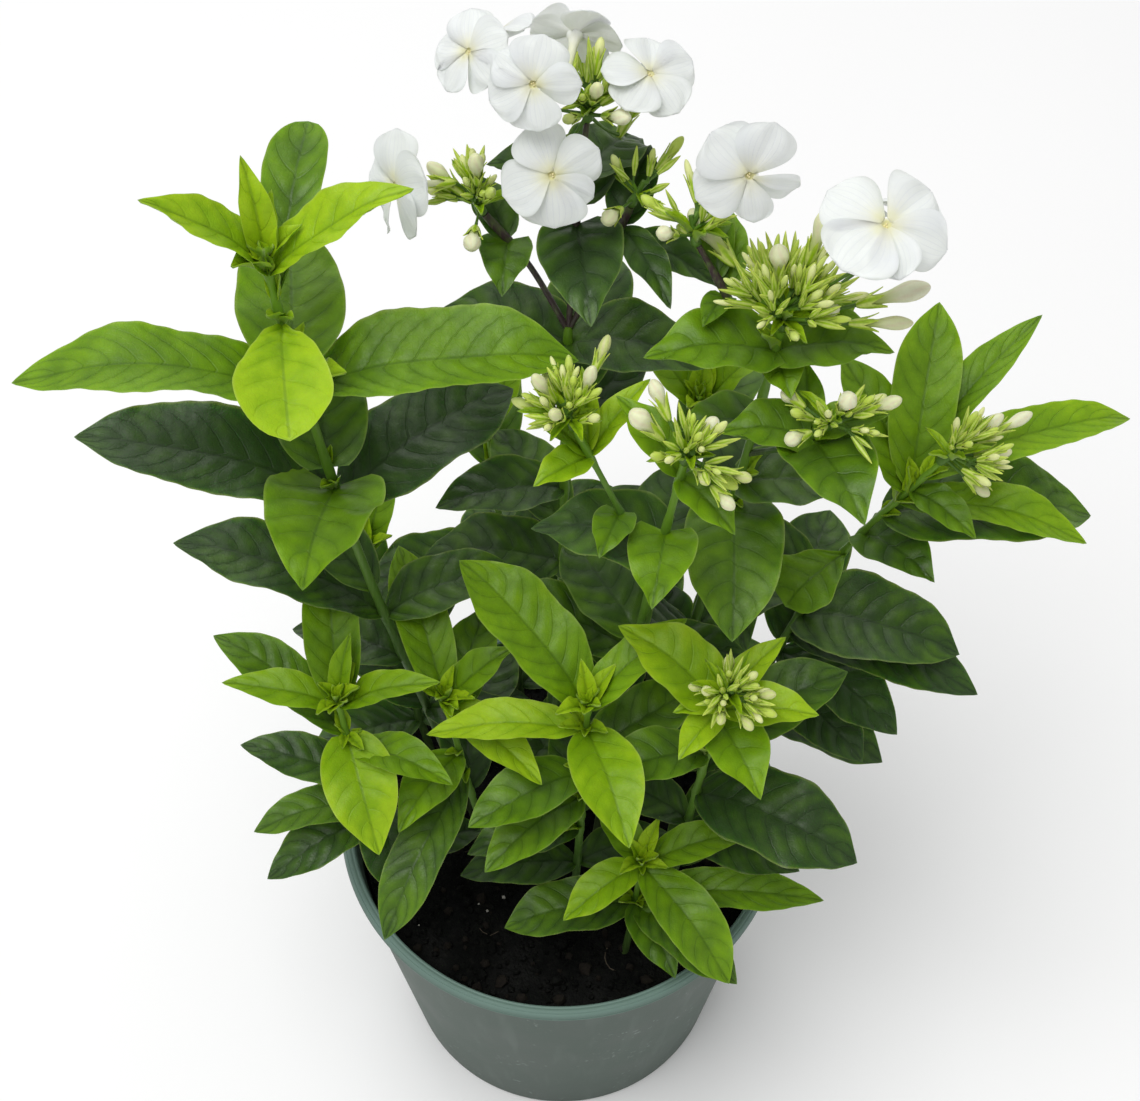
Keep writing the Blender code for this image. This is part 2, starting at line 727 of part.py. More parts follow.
def place_leaf(garden, node, base, leaf):
    """Adds a leaf, turned, lifted or shortened as little as clears its neighbours."""
    azimuth, rise, length, width, youth = leaf
    for turn, lift, size in LEAF_TRIES:
        trial = (azimuth + turn, rise + lift, length * size, width * size, youth)
        wide = leaf_solid(base, trial, guard=GUARD)
        outer = leaf_solid(base, trial, start=FREE_FROM, guard=OWN_GUARD)
        if not garden.blocked(wide, node, outer):
            outer = leaf_solid(base, trial, start=FREE_FROM)
            garden.add(node, leaf_solid(base, trial), outer)
            return trial
    return None


def place_stems(garden):
    """Adds the stems and branches, and returns their paths by name."""
    paths = {}
    for name, (foot, tip, _) in STEMS.items():
        path = smooth_path(stem_knots(name), STEM_RINGS)
        radii = [foot + (tip - foot) * step / (STEM_RINGS - 1) for step in range(STEM_RINGS)]
        garden.add(name, tube(path, radii, STEM_SIDES))
        paths[name] = path
    for name, (stem, knots) in BRANCHES.items():
        path = smooth_path(knots, BRANCH_RINGS)
        radii = [1.2 - 0.15 * step / (BRANCH_RINGS - 1) for step in range(BRANCH_RINGS)]
        garden.add(stem, tube(path, radii, BRANCH_SIDES))
        paths[name] = path
    return paths


def place_blooms(garden):
    """Adds the open blooms, 6 mm out along their facing, or nearer in or tilted where two would meet."""
    blooms = {}
    for name, (_, centre, azimuth, rise, diameter, turn) in BLOOMS.items():
        for swing, lift, shift in BLOOM_TRIES:
            spot = Vector(centre) + ray(azimuth, rise) * shift
            trial = (spot, azimuth + swing, rise + lift, diameter, turn)
            if not garden.blocked(bloom_solid(trial, GUARD), name):
                blooms[name] = trial
                garden.add(name, bloom_solid(trial))
                break
    return blooms


def pedicel_root(knot, axis, base):
    """Where the pedicel to a base leaves the head's peduncle: the steeper it rises, the higher."""
    aim = base - knot
    share = max(aim.normalized().dot(axis), 0.0)
    return knot + axis * min(PEDUNCLE * share ** 2, max(aim.length - 3.0, 0.0))


def head_knot(name, paths):
    """The peduncle's foot, just clear of its carrier's tip, and the knot where it sets off along its axis."""
    carrier, azimuth, rise = HEADS[name][:3]
    path = paths[carrier]
    ahead = (path[-1] - path[-2]).normalized()
    foot = path[-1] + ahead * FIT_GAP
    return foot, foot + ahead * 2.0, ray(azimuth, rise)


def place_calyxes(garden, paths, blooms):
    """Adds the knot of each head, and the open calyx under each of its blooms."""
    knots = {}
    for name in HEADS:
        foot, knot, axis = head_knot(name, paths)
        knots[name] = knot, axis
        top = knot + axis * (PEDUNCLE + 0.6)
        garden.add(name, tube([foot, knot, top], (1.1, KNOT_RADIUS, 0.9), 5))
    for name, bloom in blooms.items():
        head = BLOOMS[name][0]
        facing, _, _, tube_foot = bloom_pose(bloom)
        base = tube_foot - facing * TUBE_LIFT
        garden.add(head, calyx_solid(pedicel_root(*knots[head], base), base, facing))
    return knots


def place_heads(garden, paths, blooms):
    """Adds the heads, each with its large buds and then its small ones on a dome."""
    draw = random.Random(11)
    knots = place_calyxes(garden, paths, blooms)
    buds = {}
    for name, (_, _, _, small, large) in HEADS.items():
        knot, axis = knots[name]
        wanted = [(ray(*bud[:2]), *bud[2:], True) for bud in large]
        side = axis.orthogonal().normalized()
        for number in range(small):
            polar = math.radians(DOME[0] + (DOME[1] - DOME[0]) * (number + 0.5) / small)
            turn = math.radians(GOLDEN_ANGLE * number + draw.uniform(-12, 12))
            spread = side * math.cos(turn) + axis.cross(side) * math.sin(turn)
            aim = axis * math.cos(polar) + spread * math.sin(polar)
            length = draw.uniform(*SMALL_BUD_LENGTH)
            reach = 0.5 * length + draw.uniform(*SMALL_BUD_REACH) + 0.8 * PEDUNCLE * math.cos(polar) ** 2
            wanted.append((aim, reach, length, draw.uniform(*SMALL_BUD_RADIUS), False))
        buds[name] = [place_bud(garden, name, knot, axis, *bud) for bud in wanted]
    return buds


def place_bud(garden, name, knot, head_axis, aim, reach, length, radius, large):
    """Adds one bud and its pedicel, swung as little as clears the other nodes and its own head."""
    side = aim.orthogonal().normalized()
    other = aim.cross(side)
    for turn, lift, _ in BUD_TRIES:
        axis = (aim + side * math.tan(math.radians(turn)) + other * math.tan(math.radians(lift))).normalized()
        base = knot + axis * max(reach - 0.5 * length, KNOT_RADIUS + 1.0)
        bud = (base, axis, length, radius, large)
        root = pedicel_root(knot, head_axis, base)
        near = base - axis * 2.0
        if not garden.blocked(bud_solid(root, bud, BUD_GUARD), name, bud_solid(near, bud, 0.2 * BUD_GUARD)):
            garden.add(name, bud_solid(root, bud), bud_solid(near, bud))
            return root, bud
    return None


def old_pairs(name, draw):
    """Opposite pairs of old leaves up a stem, each pair a quarter turn from the last."""
    lowest, highest, azimuth, length, width = OLD_PAIRS[name]
    count = int((highest - lowest) / INTERNODE) + 1
    for step in range(count):
        height = lowest + INTERNODE * step
        for half in (0, 180):
            heading = (azimuth + 90 * step + half + draw.uniform(-14, 14) + 180) % 360 - 180
            rise = 4 + 10 * step / count + draw.uniform(-6, 6)
            size = draw.uniform(0.85, 1.1)
            if not FRONT_ARC[0] < heading < FRONT_ARC[1]:
                yield height, heading, rise, length * size, width * size, OLD_YOUTH


def place_leaves(garden, paths):
    """Adds the leaves that give the plant its outline, then the old pairs inside it."""
    draw = random.Random(5)
    leaves = {name: [] for name in STEMS}
    for name, rows in list(LEAVES.items()) + list(BRANCH_LEAVES.items()):
        node = name if name in STEMS else BRANCHES[name][0]
        for height, *leaf in rows:
            base = at_height(paths[name], height)
            placed = place_leaf(garden, node, base, leaf)
            if placed:
                leaves[node].append((base, placed))
    for name in OLD_PAIRS:
        for height, *leaf in old_pairs(name, draw):
            base = at_height(paths[name], height)
            placed = place_leaf(garden, name, base, leaf)
            if placed:
                leaves[name].append((base, placed))
    return leaves


def pot_profile():
    """The pot's section from the middle of its foot, out and over the rim, to the middle inside."""
    body = RIM_RADIUS - LIP_REACH
    return (
        (FOOT_RADIUS - 1.2, 0.0),
        (FOOT_RADIUS, 1.2),
        (body, POT_HEIGHT - LIP_DEPTH - BEAD_DEPTH),
        (body + BEAD_REACH, POT_HEIGHT - LIP_DEPTH - BEAD_DEPTH + 0.6),
        (body + BEAD_REACH, POT_HEIGHT - LIP_DEPTH),
        (RIM_RADIUS - 0.4, POT_HEIGHT - LIP_DEPTH + 0.4),
        (RIM_RADIUS, POT_HEIGHT - LIP_DEPTH + 1.4),
        (RIM_RADIUS - 0.4, POT_HEIGHT - 1.2),
        (RIM_RADIUS - 1.8, POT_HEIGHT),
        (body - POT_WALL + 0.8, POT_HEIGHT - 0.3),
        (body - POT_WALL, POT_HEIGHT - 1.4),
        (FOOT_RADIUS - POT_WALL, POT_FLOOR + 1.5),
        (FOOT_RADIUS - POT_WALL - 1.5, POT_FLOOR),
    )


def turned(profile, low, high, sides):
    """Closed solid turned from a profile, with its two ends closed to points on the axis."""
    verts = []
    faces = []
    for radius, height in profile:
        for spoke in range(sides):
            turn = math.tau * spoke / sides
            verts.append(Vector((radius * math.cos(turn), radius * math.sin(turn), height)))
    join_rings(faces, len(profile), sides)
    verts.append(Vector((0, 0, low)))
    verts.append(Vector((0, 0, high)))
    last = (len(profile) - 1) * sides
    for spoke in range(sides):
        after = (spoke + 1) % sides
        faces.append((len(verts) - 2, after, spoke))
        faces.append((len(verts) - 1, last + spoke, last + after))
    return verts, faces


def wall_inside(height):
    """Radius of the pot's inner wall at a height."""
    top = RIM_RADIUS - LIP_REACH - POT_WALL
    foot = FOOT_RADIUS - POT_WALL
    share = (height - POT_FLOOR - 1.5) / (POT_HEIGHT - 1.4 - POT_FLOOR - 1.5)
    return foot + (top - foot) * share


def soil_solid():
    """The soil, filling the pot to below its rim, with a lumpy top."""
    clear = FIT_GAP / math.cos(math.pi / SOIL_SIDES)
    bottom = POT_FLOOR + FIT_GAP
    foot = wall_inside(POT_FLOOR + 1.5) - clear - 2.2
    edge = wall_inside(SOIL_TOP - 3.0) - clear - 0.5
    profile = [(foot, bottom), (edge, SOIL_TOP - 3.0)]
    for ring in range(SOIL_RINGS, 0, -1):
        profile.append(((edge - 2.0) * ring / SOIL_RINGS, SOIL_TOP))
    verts, faces = turned(profile, bottom, SOIL_TOP, SOIL_SIDES)
    for vert in verts:
        if vert.z > SOIL_TOP - 1.0:
            vert.z += SOIL_LUMP * noise.noise(vert * 0.08)
    return verts, faces


def new_object(name, mesh_data, kind):
    """An object in metres from points in millimetres, smooth apart from its real edges."""
    verts, faces = mesh_data
    mesh = bpy.data.meshes.new(name)
    mesh.from_pydata([vert * MM for vert in verts], [], faces)
    build = bmesh.new()
    build.from_mesh(mesh)
    bmesh.ops.recalc_face_normals(build, faces=build.faces)
    build.to_mesh(mesh)
    build.free()
    mesh.shade_smooth()
    mesh.set_sharp_from_angle(angle=math.radians(40))
    colour, roughness = COLOURS[kind]
    material = bpy.data.materials.new(name + "_finish")
    material.use_nodes = True
    shader = material.node_tree.nodes["Principled BSDF"]
    shader.inputs["Base Color"].default_value = (*colour, 1.0)
    shader.inputs["Roughness"].default_value = roughness
    shader.inputs["Metallic"].default_value = 0.0
    mesh.materials.append(material)
    thing = bpy.data.objects.new(name, mesh)
    bpy.context.scene.collection.objects.link(thing)
    return thing


def apply_modifier(thing):
    """Turns the modifiers of an object into its mesh."""
    evaluated = thing.evaluated_get(bpy.context.evaluated_depsgraph_get())
    mesh = bpy.data.meshes.new_from_object(evaluated)
    thing.modifiers.clear()
    thing.data = mesh


def boolean(thing, others, operation):
    """Joins a collection of closed pieces to an object, or cuts them from it, and removes them."""
    group = bpy.data.collections.new(thing.name + "_pieces")
    bpy.context.scene.collection.children.link(group)
    for other in others:
        bpy.context.scene.collection.objects.unlink(other)
        group.objects.link(other)
    modifier = thing.modifiers.new("pieces", "BOOLEAN")
    modifier.operation = operation
    modifier.operand_type = "COLLECTION"
    modifier.collection = group
    modifier.solver = "EXACT" if operation == "DIFFERENCE" else "MANIFOLD"
    apply_modifier(thing)
    for other in others:
        bpy.data.objects.remove(other)
    bpy.data.collections.remove(group)


def build_node(name, meshes, kind):
    """One node from its closed pieces, all joined to the first."""
    pieces = [new_object(name if n == 0 else name + "_piece", mesh, kind) for n, mesh in enumerate(meshes)]
    if len(pieces) > 1:
        boolean(pieces[0], pieces[1:], "UNION")
    return pieces[0]


def build_pot():
    """The pot, with a ring of round drain holes through its floor."""
    mesh = turned(pot_profile(), 0.0, POT_FLOOR, POT_SIDES)
    pot = new_object("pot", mesh, "pot")
    drills = []
    for number in range(DRAIN_HOLES):
        spot = ray(360 * number / DRAIN_HOLES, 0) * DRAIN_RING
        path = [spot + Vector((0, 0, -1)), spot + Vector((0, 0, POT_FLOOR + 1))]
        drills.append(new_object("drill", tube(path, (DRAIN_RADIUS, DRAIN_RADIUS), 8), "pot"))
    boolean(pot, drills, "DIFFERENCE")


def build_soil():
    """The soil, with a plain hole for each stem."""
    soil = new_object("soil", soil_solid(), "soil")
    drills = []
    for name, (foot, _, _) in STEMS.items():
        path = smooth_path(stem_knots(name), STEM_RINGS)
        ahead = (path[1] - path[0]).normalized()
        start = path[0] - ahead * FIT_GAP
        radius = (foot + HOLE_GAP) / math.cos(math.pi / HOLE_SIDES)
        drill = tube([start, start + ahead * 30.0], (radius, radius), HOLE_SIDES)
        drills.append(new_object("drill", drill, "soil"))
    boolean(soil, drills, "DIFFERENCE")


def main():
    for thing in list(bpy.data.objects):
        bpy.data.objects.remove(thing)
    garden = Garden()
    garden.add("pot", turned(pot_profile(), 0.0, POT_FLOOR, POT_SIDES))
    paths = place_stems(garden)
    blooms = place_blooms(garden)
    place_heads(garden, paths, blooms)
    place_leaves(garden, paths)
    build_pot()
    build_soil()
    for name in STEMS:
        build_node(name, garden.pieces[name], "stem")
    for name in HEADS:
        build_node(name, garden.pieces[name], "head")
    for name in BLOOMS:
        build_node(name, garden.pieces[name], "bloom")


main()
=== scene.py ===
"""Looks of the potted garden phlox: fine leaves, bud heads, blooms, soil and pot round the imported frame.

The tables and rules that lay the plant out are those of the solids, in millimetres and degrees.
The solids were bent a little clear of each other, so each leaf, bud and bloom is fitted to the frame:
of the small changes that the solids may have had, it takes the one whose tip is a corner of its node.
"""
import math
import random

import bmesh
import bpy
import numpy as np
from mathutils import Matrix, Vector, noise
from mathutils.kdtree import KDTree

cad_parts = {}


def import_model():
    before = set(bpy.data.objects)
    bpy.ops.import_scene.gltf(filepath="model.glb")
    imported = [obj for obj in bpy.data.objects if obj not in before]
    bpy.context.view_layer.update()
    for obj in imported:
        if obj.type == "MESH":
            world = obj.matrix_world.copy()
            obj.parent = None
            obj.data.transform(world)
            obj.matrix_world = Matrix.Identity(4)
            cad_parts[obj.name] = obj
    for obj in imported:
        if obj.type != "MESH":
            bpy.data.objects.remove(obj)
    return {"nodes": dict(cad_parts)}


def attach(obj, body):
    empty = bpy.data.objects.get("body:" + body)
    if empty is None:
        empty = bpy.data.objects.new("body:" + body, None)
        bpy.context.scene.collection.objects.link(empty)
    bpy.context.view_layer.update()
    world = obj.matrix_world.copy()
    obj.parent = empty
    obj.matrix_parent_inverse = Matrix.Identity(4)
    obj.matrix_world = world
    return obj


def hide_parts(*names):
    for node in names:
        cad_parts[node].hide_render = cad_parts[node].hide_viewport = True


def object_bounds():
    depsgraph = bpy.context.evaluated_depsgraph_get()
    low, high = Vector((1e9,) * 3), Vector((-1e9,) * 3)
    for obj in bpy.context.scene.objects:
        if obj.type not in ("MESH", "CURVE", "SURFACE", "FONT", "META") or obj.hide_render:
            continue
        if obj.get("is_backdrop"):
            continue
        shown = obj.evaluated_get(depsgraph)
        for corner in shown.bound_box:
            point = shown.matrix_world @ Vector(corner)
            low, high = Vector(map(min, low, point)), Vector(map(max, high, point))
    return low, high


MM = 0.001
UP = Vector((0, 0, 1))

# Camera, as the photograph's: 2000 pixels of focal length on a frame 1140 pixels wide
FRAME_WIDTH = 1140.0
FOCAL_PIXELS = 2000.0
CAMERA_SPOT = (0.0035, -0.360, 0.806)
CAMERA_TILT = 54.4

# Studio, in metres: (lamp, place, width, power), all turned to one aim
LAMPS = (("key", (-0.50, -0.50, 2.45), 1.6, 35.0), ("back", (-0.30, 1.50, 1.90), 1.4, 9.0))
LAMP_AIM = (0.0, 0.0, 0.25)
WORLD_LIGHT = 0.48
FLOOR_REACH = 3.0

# Pot
POT_HEIGHT = 136.0
RIM_RADIUS = 83.0
FOOT_RADIUS = 64.0
POT_WALL = 1.8
POT_FLOOR = 2.5
LIP_DEPTH = 4.6
LIP_REACH = 3.0
BEAD_DEPTH = 2.2
BEAD_REACH = 1.4
DRAIN_HOLES = 6
DRAIN_RADIUS = 4.5
DRAIN_RING = 48.0

# Soil
SOIL_TOP = 121.0
SOIL_LUMP = 2.2
FIT_GAP = 0.35
STEM_FOOT = 100.0

# Stems
STEM_RINGS = 6
BRANCH_RINGS = 4

# Leaves
OLD_ARCH = 0.13
YOUNG_ARCH = 0.09
OLD_FOLD = 0.16
YOUNG_FOLD = 0.34

# Buds and blooms
SEPALS = 5
PETALS = 5
KNOT_RADIUS = 1.9
PEDUNCLE = 6.0
SMALL_BUD_LENGTH = (8.0, 11.5)
SMALL_BUD_RADIUS = (1.1, 1.7)
SMALL_BUD_REACH = (3.5, 7.0)
DOME = (18.0, 80.0)
CALYX_LENGTH = 8.0
TUBE_LIFT = 4.0
TUBE_LENGTH = 15.0
PETAL_BREADTH = 0.58
PETAL_LEAN = 9.0
PETAL_DROP = 0.16
GOLDEN_ANGLE = 137.5


STEMS = {
    # name: (foot radius, tip radius, points from the soil to the tip)
    "stem_tall_left": (2.4, 1.3, ((-30, 6), (-46, 4, 200), (-60, -4, 300), (-70, -6, 390), (-75, 0, 432))),
    "stem_left_shoot": (2.1, 1.2, ((-46, -22), (-58, -28, 170), (-68, -28, 220), (-71, -26, 257))),
    "stem_left_middle": (2.0, 1.2, ((-20, -16), (-30, -22, 180), (-37, -23, 254))),
    "stem_centre_shoot": (2.2, 1.2, ((4, -30), (7, -36, 190), (9, -40, 277))),
    "stem_front_shoot": (1.9, 1.2, ((22, -52), (26, -50, 150), (28, -47, 186))),
    "stem_budding": (2.2, 1.2, ((38, -28), (45, -34, 200), (50, -45, 290))),
    "stem_centre_back": (2.5, 1.5, ((-4, 20), (0, 24, 220), (3, 30, 373))),
    "stem_right": (2.5, 1.4, ((30, 8), (42, 10, 220), (54, 6, 330), (60, 0, 405))),
    "stem_inner": (2.3, 1.3, ((12, -4), (20, -10, 220), (28, -22, 320), (34, -30, 385))),
    "stem_far_right": (2.1, 1.0, ((52, 12), (70, 14, 200), (88, 10, 282), (112, 3, 343))),
    "stem_back_left": (2.3, 1.2, ((-14, 46), (-20, 54, 220), (-24, 62, 290))),
    "stem_back_right": (2.3, 1.2, ((30, 42), (40, 54, 220), (46, 62, 300))),
    "stem_side_left": (2.2, 1.2, ((-46, 26), (-60, 40, 180), (-68, 48, 238))),
}

BRANCHES = {
    # name: (stem, points from the stem's axis to the tip)
    "centre": ("stem_centre_back", ((3, 30, 371), (6, 38, 420), (8, 42, 440))),
    "left": ("stem_centre_back", ((3, 30, 371), (-8, 34, 394), (-20, 36, 412))),
    "upper_right": ("stem_centre_back", ((3, 30, 371), (13, 33, 395), (20, 35, 416))),
    "right_back": ("stem_right", ((58, 2, 384), (46, 12, 405), (38, 18, 418))),
    "right_low": ("stem_right", ((56, 5, 345), (66, -8, 365), (73, -16, 383))),
    "inner_left": ("stem_inner", ((28, -22, 322), (18, -22, 352), (5, -16, 382))),
}

LEAVES = {
    # stem: (height on the stem, azimuth, rise, length, width, youth from 0 to 1)
    "stem_tall_left": (
        (427, -171, 48, 42, 15, 0.9), (427, 10, 32, 46, 17, 0.85), (430, 110, 67, 30, 9, 1.0),
        (430, 75, 60, 20, 7, 1.0), (429, -126, 43, 16, 8, 1.0), (418, 82, 22, 52, 17, 0.45),
        (412, -82, 6, 44, 25, 0.9), (398, 96, 0, 46, 30, 0.42), (386, -172, 13, 77, 25, 0.6),
        (386, 4, 6, 76, 27, 0.55), (388, -158, 36, 20, 9, 1.0), (388, -24, 40, 20, 9, 1.0),
        (343, -97, 12, 44, 34, 0.58), (352, 100, 16, 46, 28, 0.3), (334, 177, 20, 79, 28, 0.12),
        (334, 38, 6, 64, 31, 0.12), (270, 170, 20, 71, 25, 0.1), (270, 20, 8, 44, 22, 0.15),
        (240, 160, -4, 42, 22, 0.1),
    ),
    "stem_left_shoot": (
        (254, 96, 36, 48, 18, 0.55), (254, 175, 14, 38, 13, 0.8), (254, 1, 23, 36, 13, 0.75),
        (256, 72, 52, 24, 8, 0.75), (256, -100, 40, 12, 5, 1.0), (238, -72, -27, 41, 24, 0.9),
        (238, 150, 24, 54, 18, 0.4), (230, -28, 12, 40, 16, 0.55), (204, 168, 17, 46, 17, 0.1),
        (196, -163, 0, 43, 17, 0.3), (186, -150, -6, 46, 18, 0.2), (190, -76, -9, 37, 20, 0.1),
    ),
    "stem_left_middle": (
        (251, 119, 34, 54, 17, 0.55), (251, 22, 37, 31, 13, 0.55), (252, -60, 42, 13, 5, 1.0),
        (240, 74, 12, 42, 18, 0.45), (251, -41, -8, 42, 16, 1.0), (218, -122, 2, 36, 17, 0.55),
        (206, -116, -19, 63, 18, 0.25),
    ),
    "stem_centre_shoot": (
        (274, 137, 28, 61, 24, 0.5), (274, 45, 28, 42, 14, 0.6), (276, 106, 64, 18, 6, 1.0),
        (276, -100, 48, 12, 5, 1.0), (262, 179, -5, 51, 14, 0.9), (262, -72, -6, 42, 22, 0.85),
        (232, -150, 3, 43, 20, 0.5), (240, 30, 12, 46, 20, 0.35), (214, -140, -2, 42, 20, 0.4),
        (190, -168, -6, 40, 20, 0.2),
    ),
    "stem_front_shoot": (
        (184, -147, -14, 33, 15, 0.75), (184, 16, 13, 40, 14, 0.6), (184, -52, -16, 50, 20, 0.55),
        (184, 128, 22, 28, 12, 0.6), (185, -90, 60, 8, 4, 1.0), (160, -64, -8, 31, 17, 0.25),
        (158, -38, -6, 47, 20, 0.25), (158, -170, -3, 47, 22, 0.3), (160, -3, 7, 66, 16, 0.5),
    ),
    "stem_budding": (
        (283, 146, 20, 40, 22, 0.95), (283, 40, 30, 29, 11, 0.95), (281, -8, 8, 30, 15, 0.95),
        (281, -130, -8, 21, 11, 1.0), (274, -65, -8, 29, 20, 0.7), (284, -165, 10, 16, 8, 1.0),
        (246, 23, 22, 52, 22, 0.3), (246, -160, 10, 42, 20, 0.4), (214, -24, -5, 58, 31, 0.12),
        (182, -22, -2, 42, 22, 0.1),
    ),
    "stem_centre_back": (
        (366, 160, 0, 40, 25, 0.12), (366, -12, 0, 43, 27, 0.12), (340, 75, 15, 54, 27, 0.12),
        (300, -165, 6, 42, 22, 0.1), (262, 178, -2, 47, 27, 0.1), (262, -6, -3, 38, 26, 0.12),
    ),
    "stem_right": (
        (396, -170, 6, 37, 24, 0.55), (396, -8, 8, 32, 22, 0.45), (394, -75, -8, 15, 13, 0.7),
        (392, 34, 22, 30, 16, 0.65), (362, -165, 8, 24, 18, 0.35), (330, -4, 0, 38, 24, 0.25),
        (320, -92, -10, 46, 30, 0.45), (290, -75, -12, 34, 18, 0.15), (300, 70, 12, 50, 26, 0.15),
    ),
    "stem_inner": (
        (378, -48, -12, 22, 13, 0.55), (378, 135, 30, 28, 12, 0.6), (348, -100, -8, 25, 20, 0.55),
        (340, 172, 2, 38, 29, 0.1), (280, 121, 0, 44, 24, 0.15), (250, 110, 5, 42, 22, 0.15),
    ),
    "stem_far_right": (
        (328, 79, 46, 57, 20, 0.55), (326, 124, 38, 46, 18, 0.5), (320, 43, 41, 71, 13, 0.6),
        (334, 21, 3, 72, 16, 0.6), (312, 2, -2, 66, 34, 0.3), (321, -14, -7, 58, 16, 0.6),
        (328, -42, -10, 25, 12, 0.5), (302, -45, 2, 28, 20, 0.3), (290, -140, -12, 27, 24, 0.5),
        (250, -18, 1, 54, 34, 0.05), (238, -22, 0, 66, 24, 0.1), (226, -40, -2, 50, 24, 0.1),
        (212, -46, -8, 46, 24, 0.1),
    ),
    "stem_back_left": (
        (287, 60, 40, 34, 14, 0.7), (287, 172, 36, 34, 14, 0.7), (287, 110, 60, 20, 8, 0.9),
        (268, 95, 12, 50, 24, 0.3),
    ),
    "stem_back_right": (
        (297, 20, 38, 36, 15, 0.7), (297, 140, 36, 36, 15, 0.7), (297, 80, 60, 20, 8, 0.9),
        (276, 60, 12, 52, 25, 0.3),
    ),
    "stem_side_left": (
        (235, 70, 40, 34, 14, 0.6), (235, 165, 34, 36, 14, 0.6), (216, 120, 12, 48, 22, 0.25),
    ),
}

BRANCH_LEAVES = {
    # branch: (height, azimuth, rise, length, width, youth)
    "centre": (
        (424, 34, -4, 34, 21, 0.12), (424, 172, 2, 26, 18, 0.12), (408, -84, -2, 37, 24, 0.15),
        (414, 80, 15, 34, 20, 0.15),
    ),
    "left": (
        (403, -94, -4, 20, 15, 0.3), (403, 120, 22, 22, 12, 0.25),
    ),
    "upper_right": (
        (409, -64, -8, 30, 12, 0.15), (405, -18, -18, 32, 13, 0.15), (409, 70, 20, 26, 14, 0.15),
    ),
    "right_back": (
        (409, 116, 40, 28, 10, 0.5), (405, 88, 36, 27, 11, 0.5), (405, -120, 5, 14, 9, 0.5),
    ),
    "right_low": (
        (375, -68, 0, 33, 26, 0.4), (375, -176, 10, 26, 17, 0.5), (372, 90, 40, 22, 10, 0.6),
        (376, 2, 22, 22, 12, 0.65),
    ),
    "inner_left": (
        (373, 42, 36, 27, 9, 0.85), (373, -145, 2, 19, 11, 0.85), (374, 96, 48, 24, 7, 0.9),
        (373, 152, 26, 23, 8, 0.85), (352, -110, 4, 18, 12, 0.5),
    ),
}

OLD_PAIRS = {
    # stem: (lowest height, highest height, first azimuth, length, width)
    "stem_tall_left": (165, 320, 60, 48, 22),
    "stem_left_shoot": (150, 176, 20, 36, 17),
    "stem_left_middle": (150, 226, 40, 42, 19),
    "stem_centre_shoot": (160, 220, 20, 42, 20),
    "stem_budding": (150, 235, 60, 46, 22),
    "stem_centre_back": (160, 330, 45, 50, 24),
    "stem_right": (165, 280, 20, 52, 25),
    "stem_inner": (150, 310, 80, 44, 21),
    "stem_far_right": (150, 300, 60, 52, 25),
    "stem_back_left": (145, 255, 20, 52, 24),
    "stem_back_right": (145, 262, 10, 52, 25),
    "stem_side_left": (145, 205, 30, 46, 21),
}
INTERNODE = 40.0
FRONT_ARC = (-150.0, -30.0)
OLD_YOUTH = 0.12

HEADS = {
    # head: (carrier, azimuth, rise, small buds, large buds)
    # large bud: (azimuth, rise, reach, bud length, bud radius)
    "head_centre": ("centre", 90, 70, 5, ((-57, 45, 14, 13, 2.2), (-47, 66, 14, 12, 1.9))),
    "head_left": ("left", 160, 60, 4, (
        (-96, 8, 13, 10, 2.5), (-90, 77, 19, 14, 2.2), (-178, 54, 13, 14, 2.2),
    )),
    "head_upper_right": ("upper_right", 20, 62, 3, ((-118, 22, 13, 11, 2.3),)),
    "head_right": ("stem_right", 80, 72, 8, (
        (138, 32, 30, 20, 3.2), (110, 72, 18, 12, 2.7), (51, 60, 26, 17, 2.8), (4, 17, 30, 20, 2.9),
        (-5, 6, 26, 17, 2.0), (0, 24, 12, 8, 1.9),
    )),
    "head_right_back": ("right_back", 110, 60, 4, ((-140, 40, 13, 9, 2.1),)),
    "head_right_low": ("right_low", -50, 55, 2, (
        (150, 20, 12, 8, 2.0), (-50, 72, 13, 11, 2.6), (-147, 12, 11, 9, 2.2), (-10, 40, 17, 12, 1.9),
    )),
    "head_inner": ("stem_inner", -60, 62, 3, (
        (164, 44, 15, 13, 2.9), (40, 40, 10, 8, 2.1), (120, 38, 17, 12, 2.2), (-25, 4, 15, 8, 1.6),
        (-66, 20, 10, 8, 1.5), (-50, -8, 15, 9, 1.9),
    )),
    "head_inner_left": ("inner_left", 140, 60, 3, (
        (176, 62, 16, 12, 1.9), (21, 74, 16, 12, 1.9), (-119, 56, 14, 11, 1.8), (60, 40, 20, 12, 1.6),
    )),
    "head_far_right": ("stem_far_right", 0, 40, 3, (
        (25, 32, 15, 13, 2.0), (15, 24, 22, 15, 2.0), (10, -2, 15, 12, 2.0), (-25, -30, 13, 10, 1.8),
    )),
    "head_budding": ("stem_budding", -60, 62, 4, (
        (-100, 22, 11, 8, 1.5), (-23, 32, 13, 10, 1.6), (-64, 12, 12, 9, 1.6), (-178, 25, 9, 7, 1.4),
    )),
}

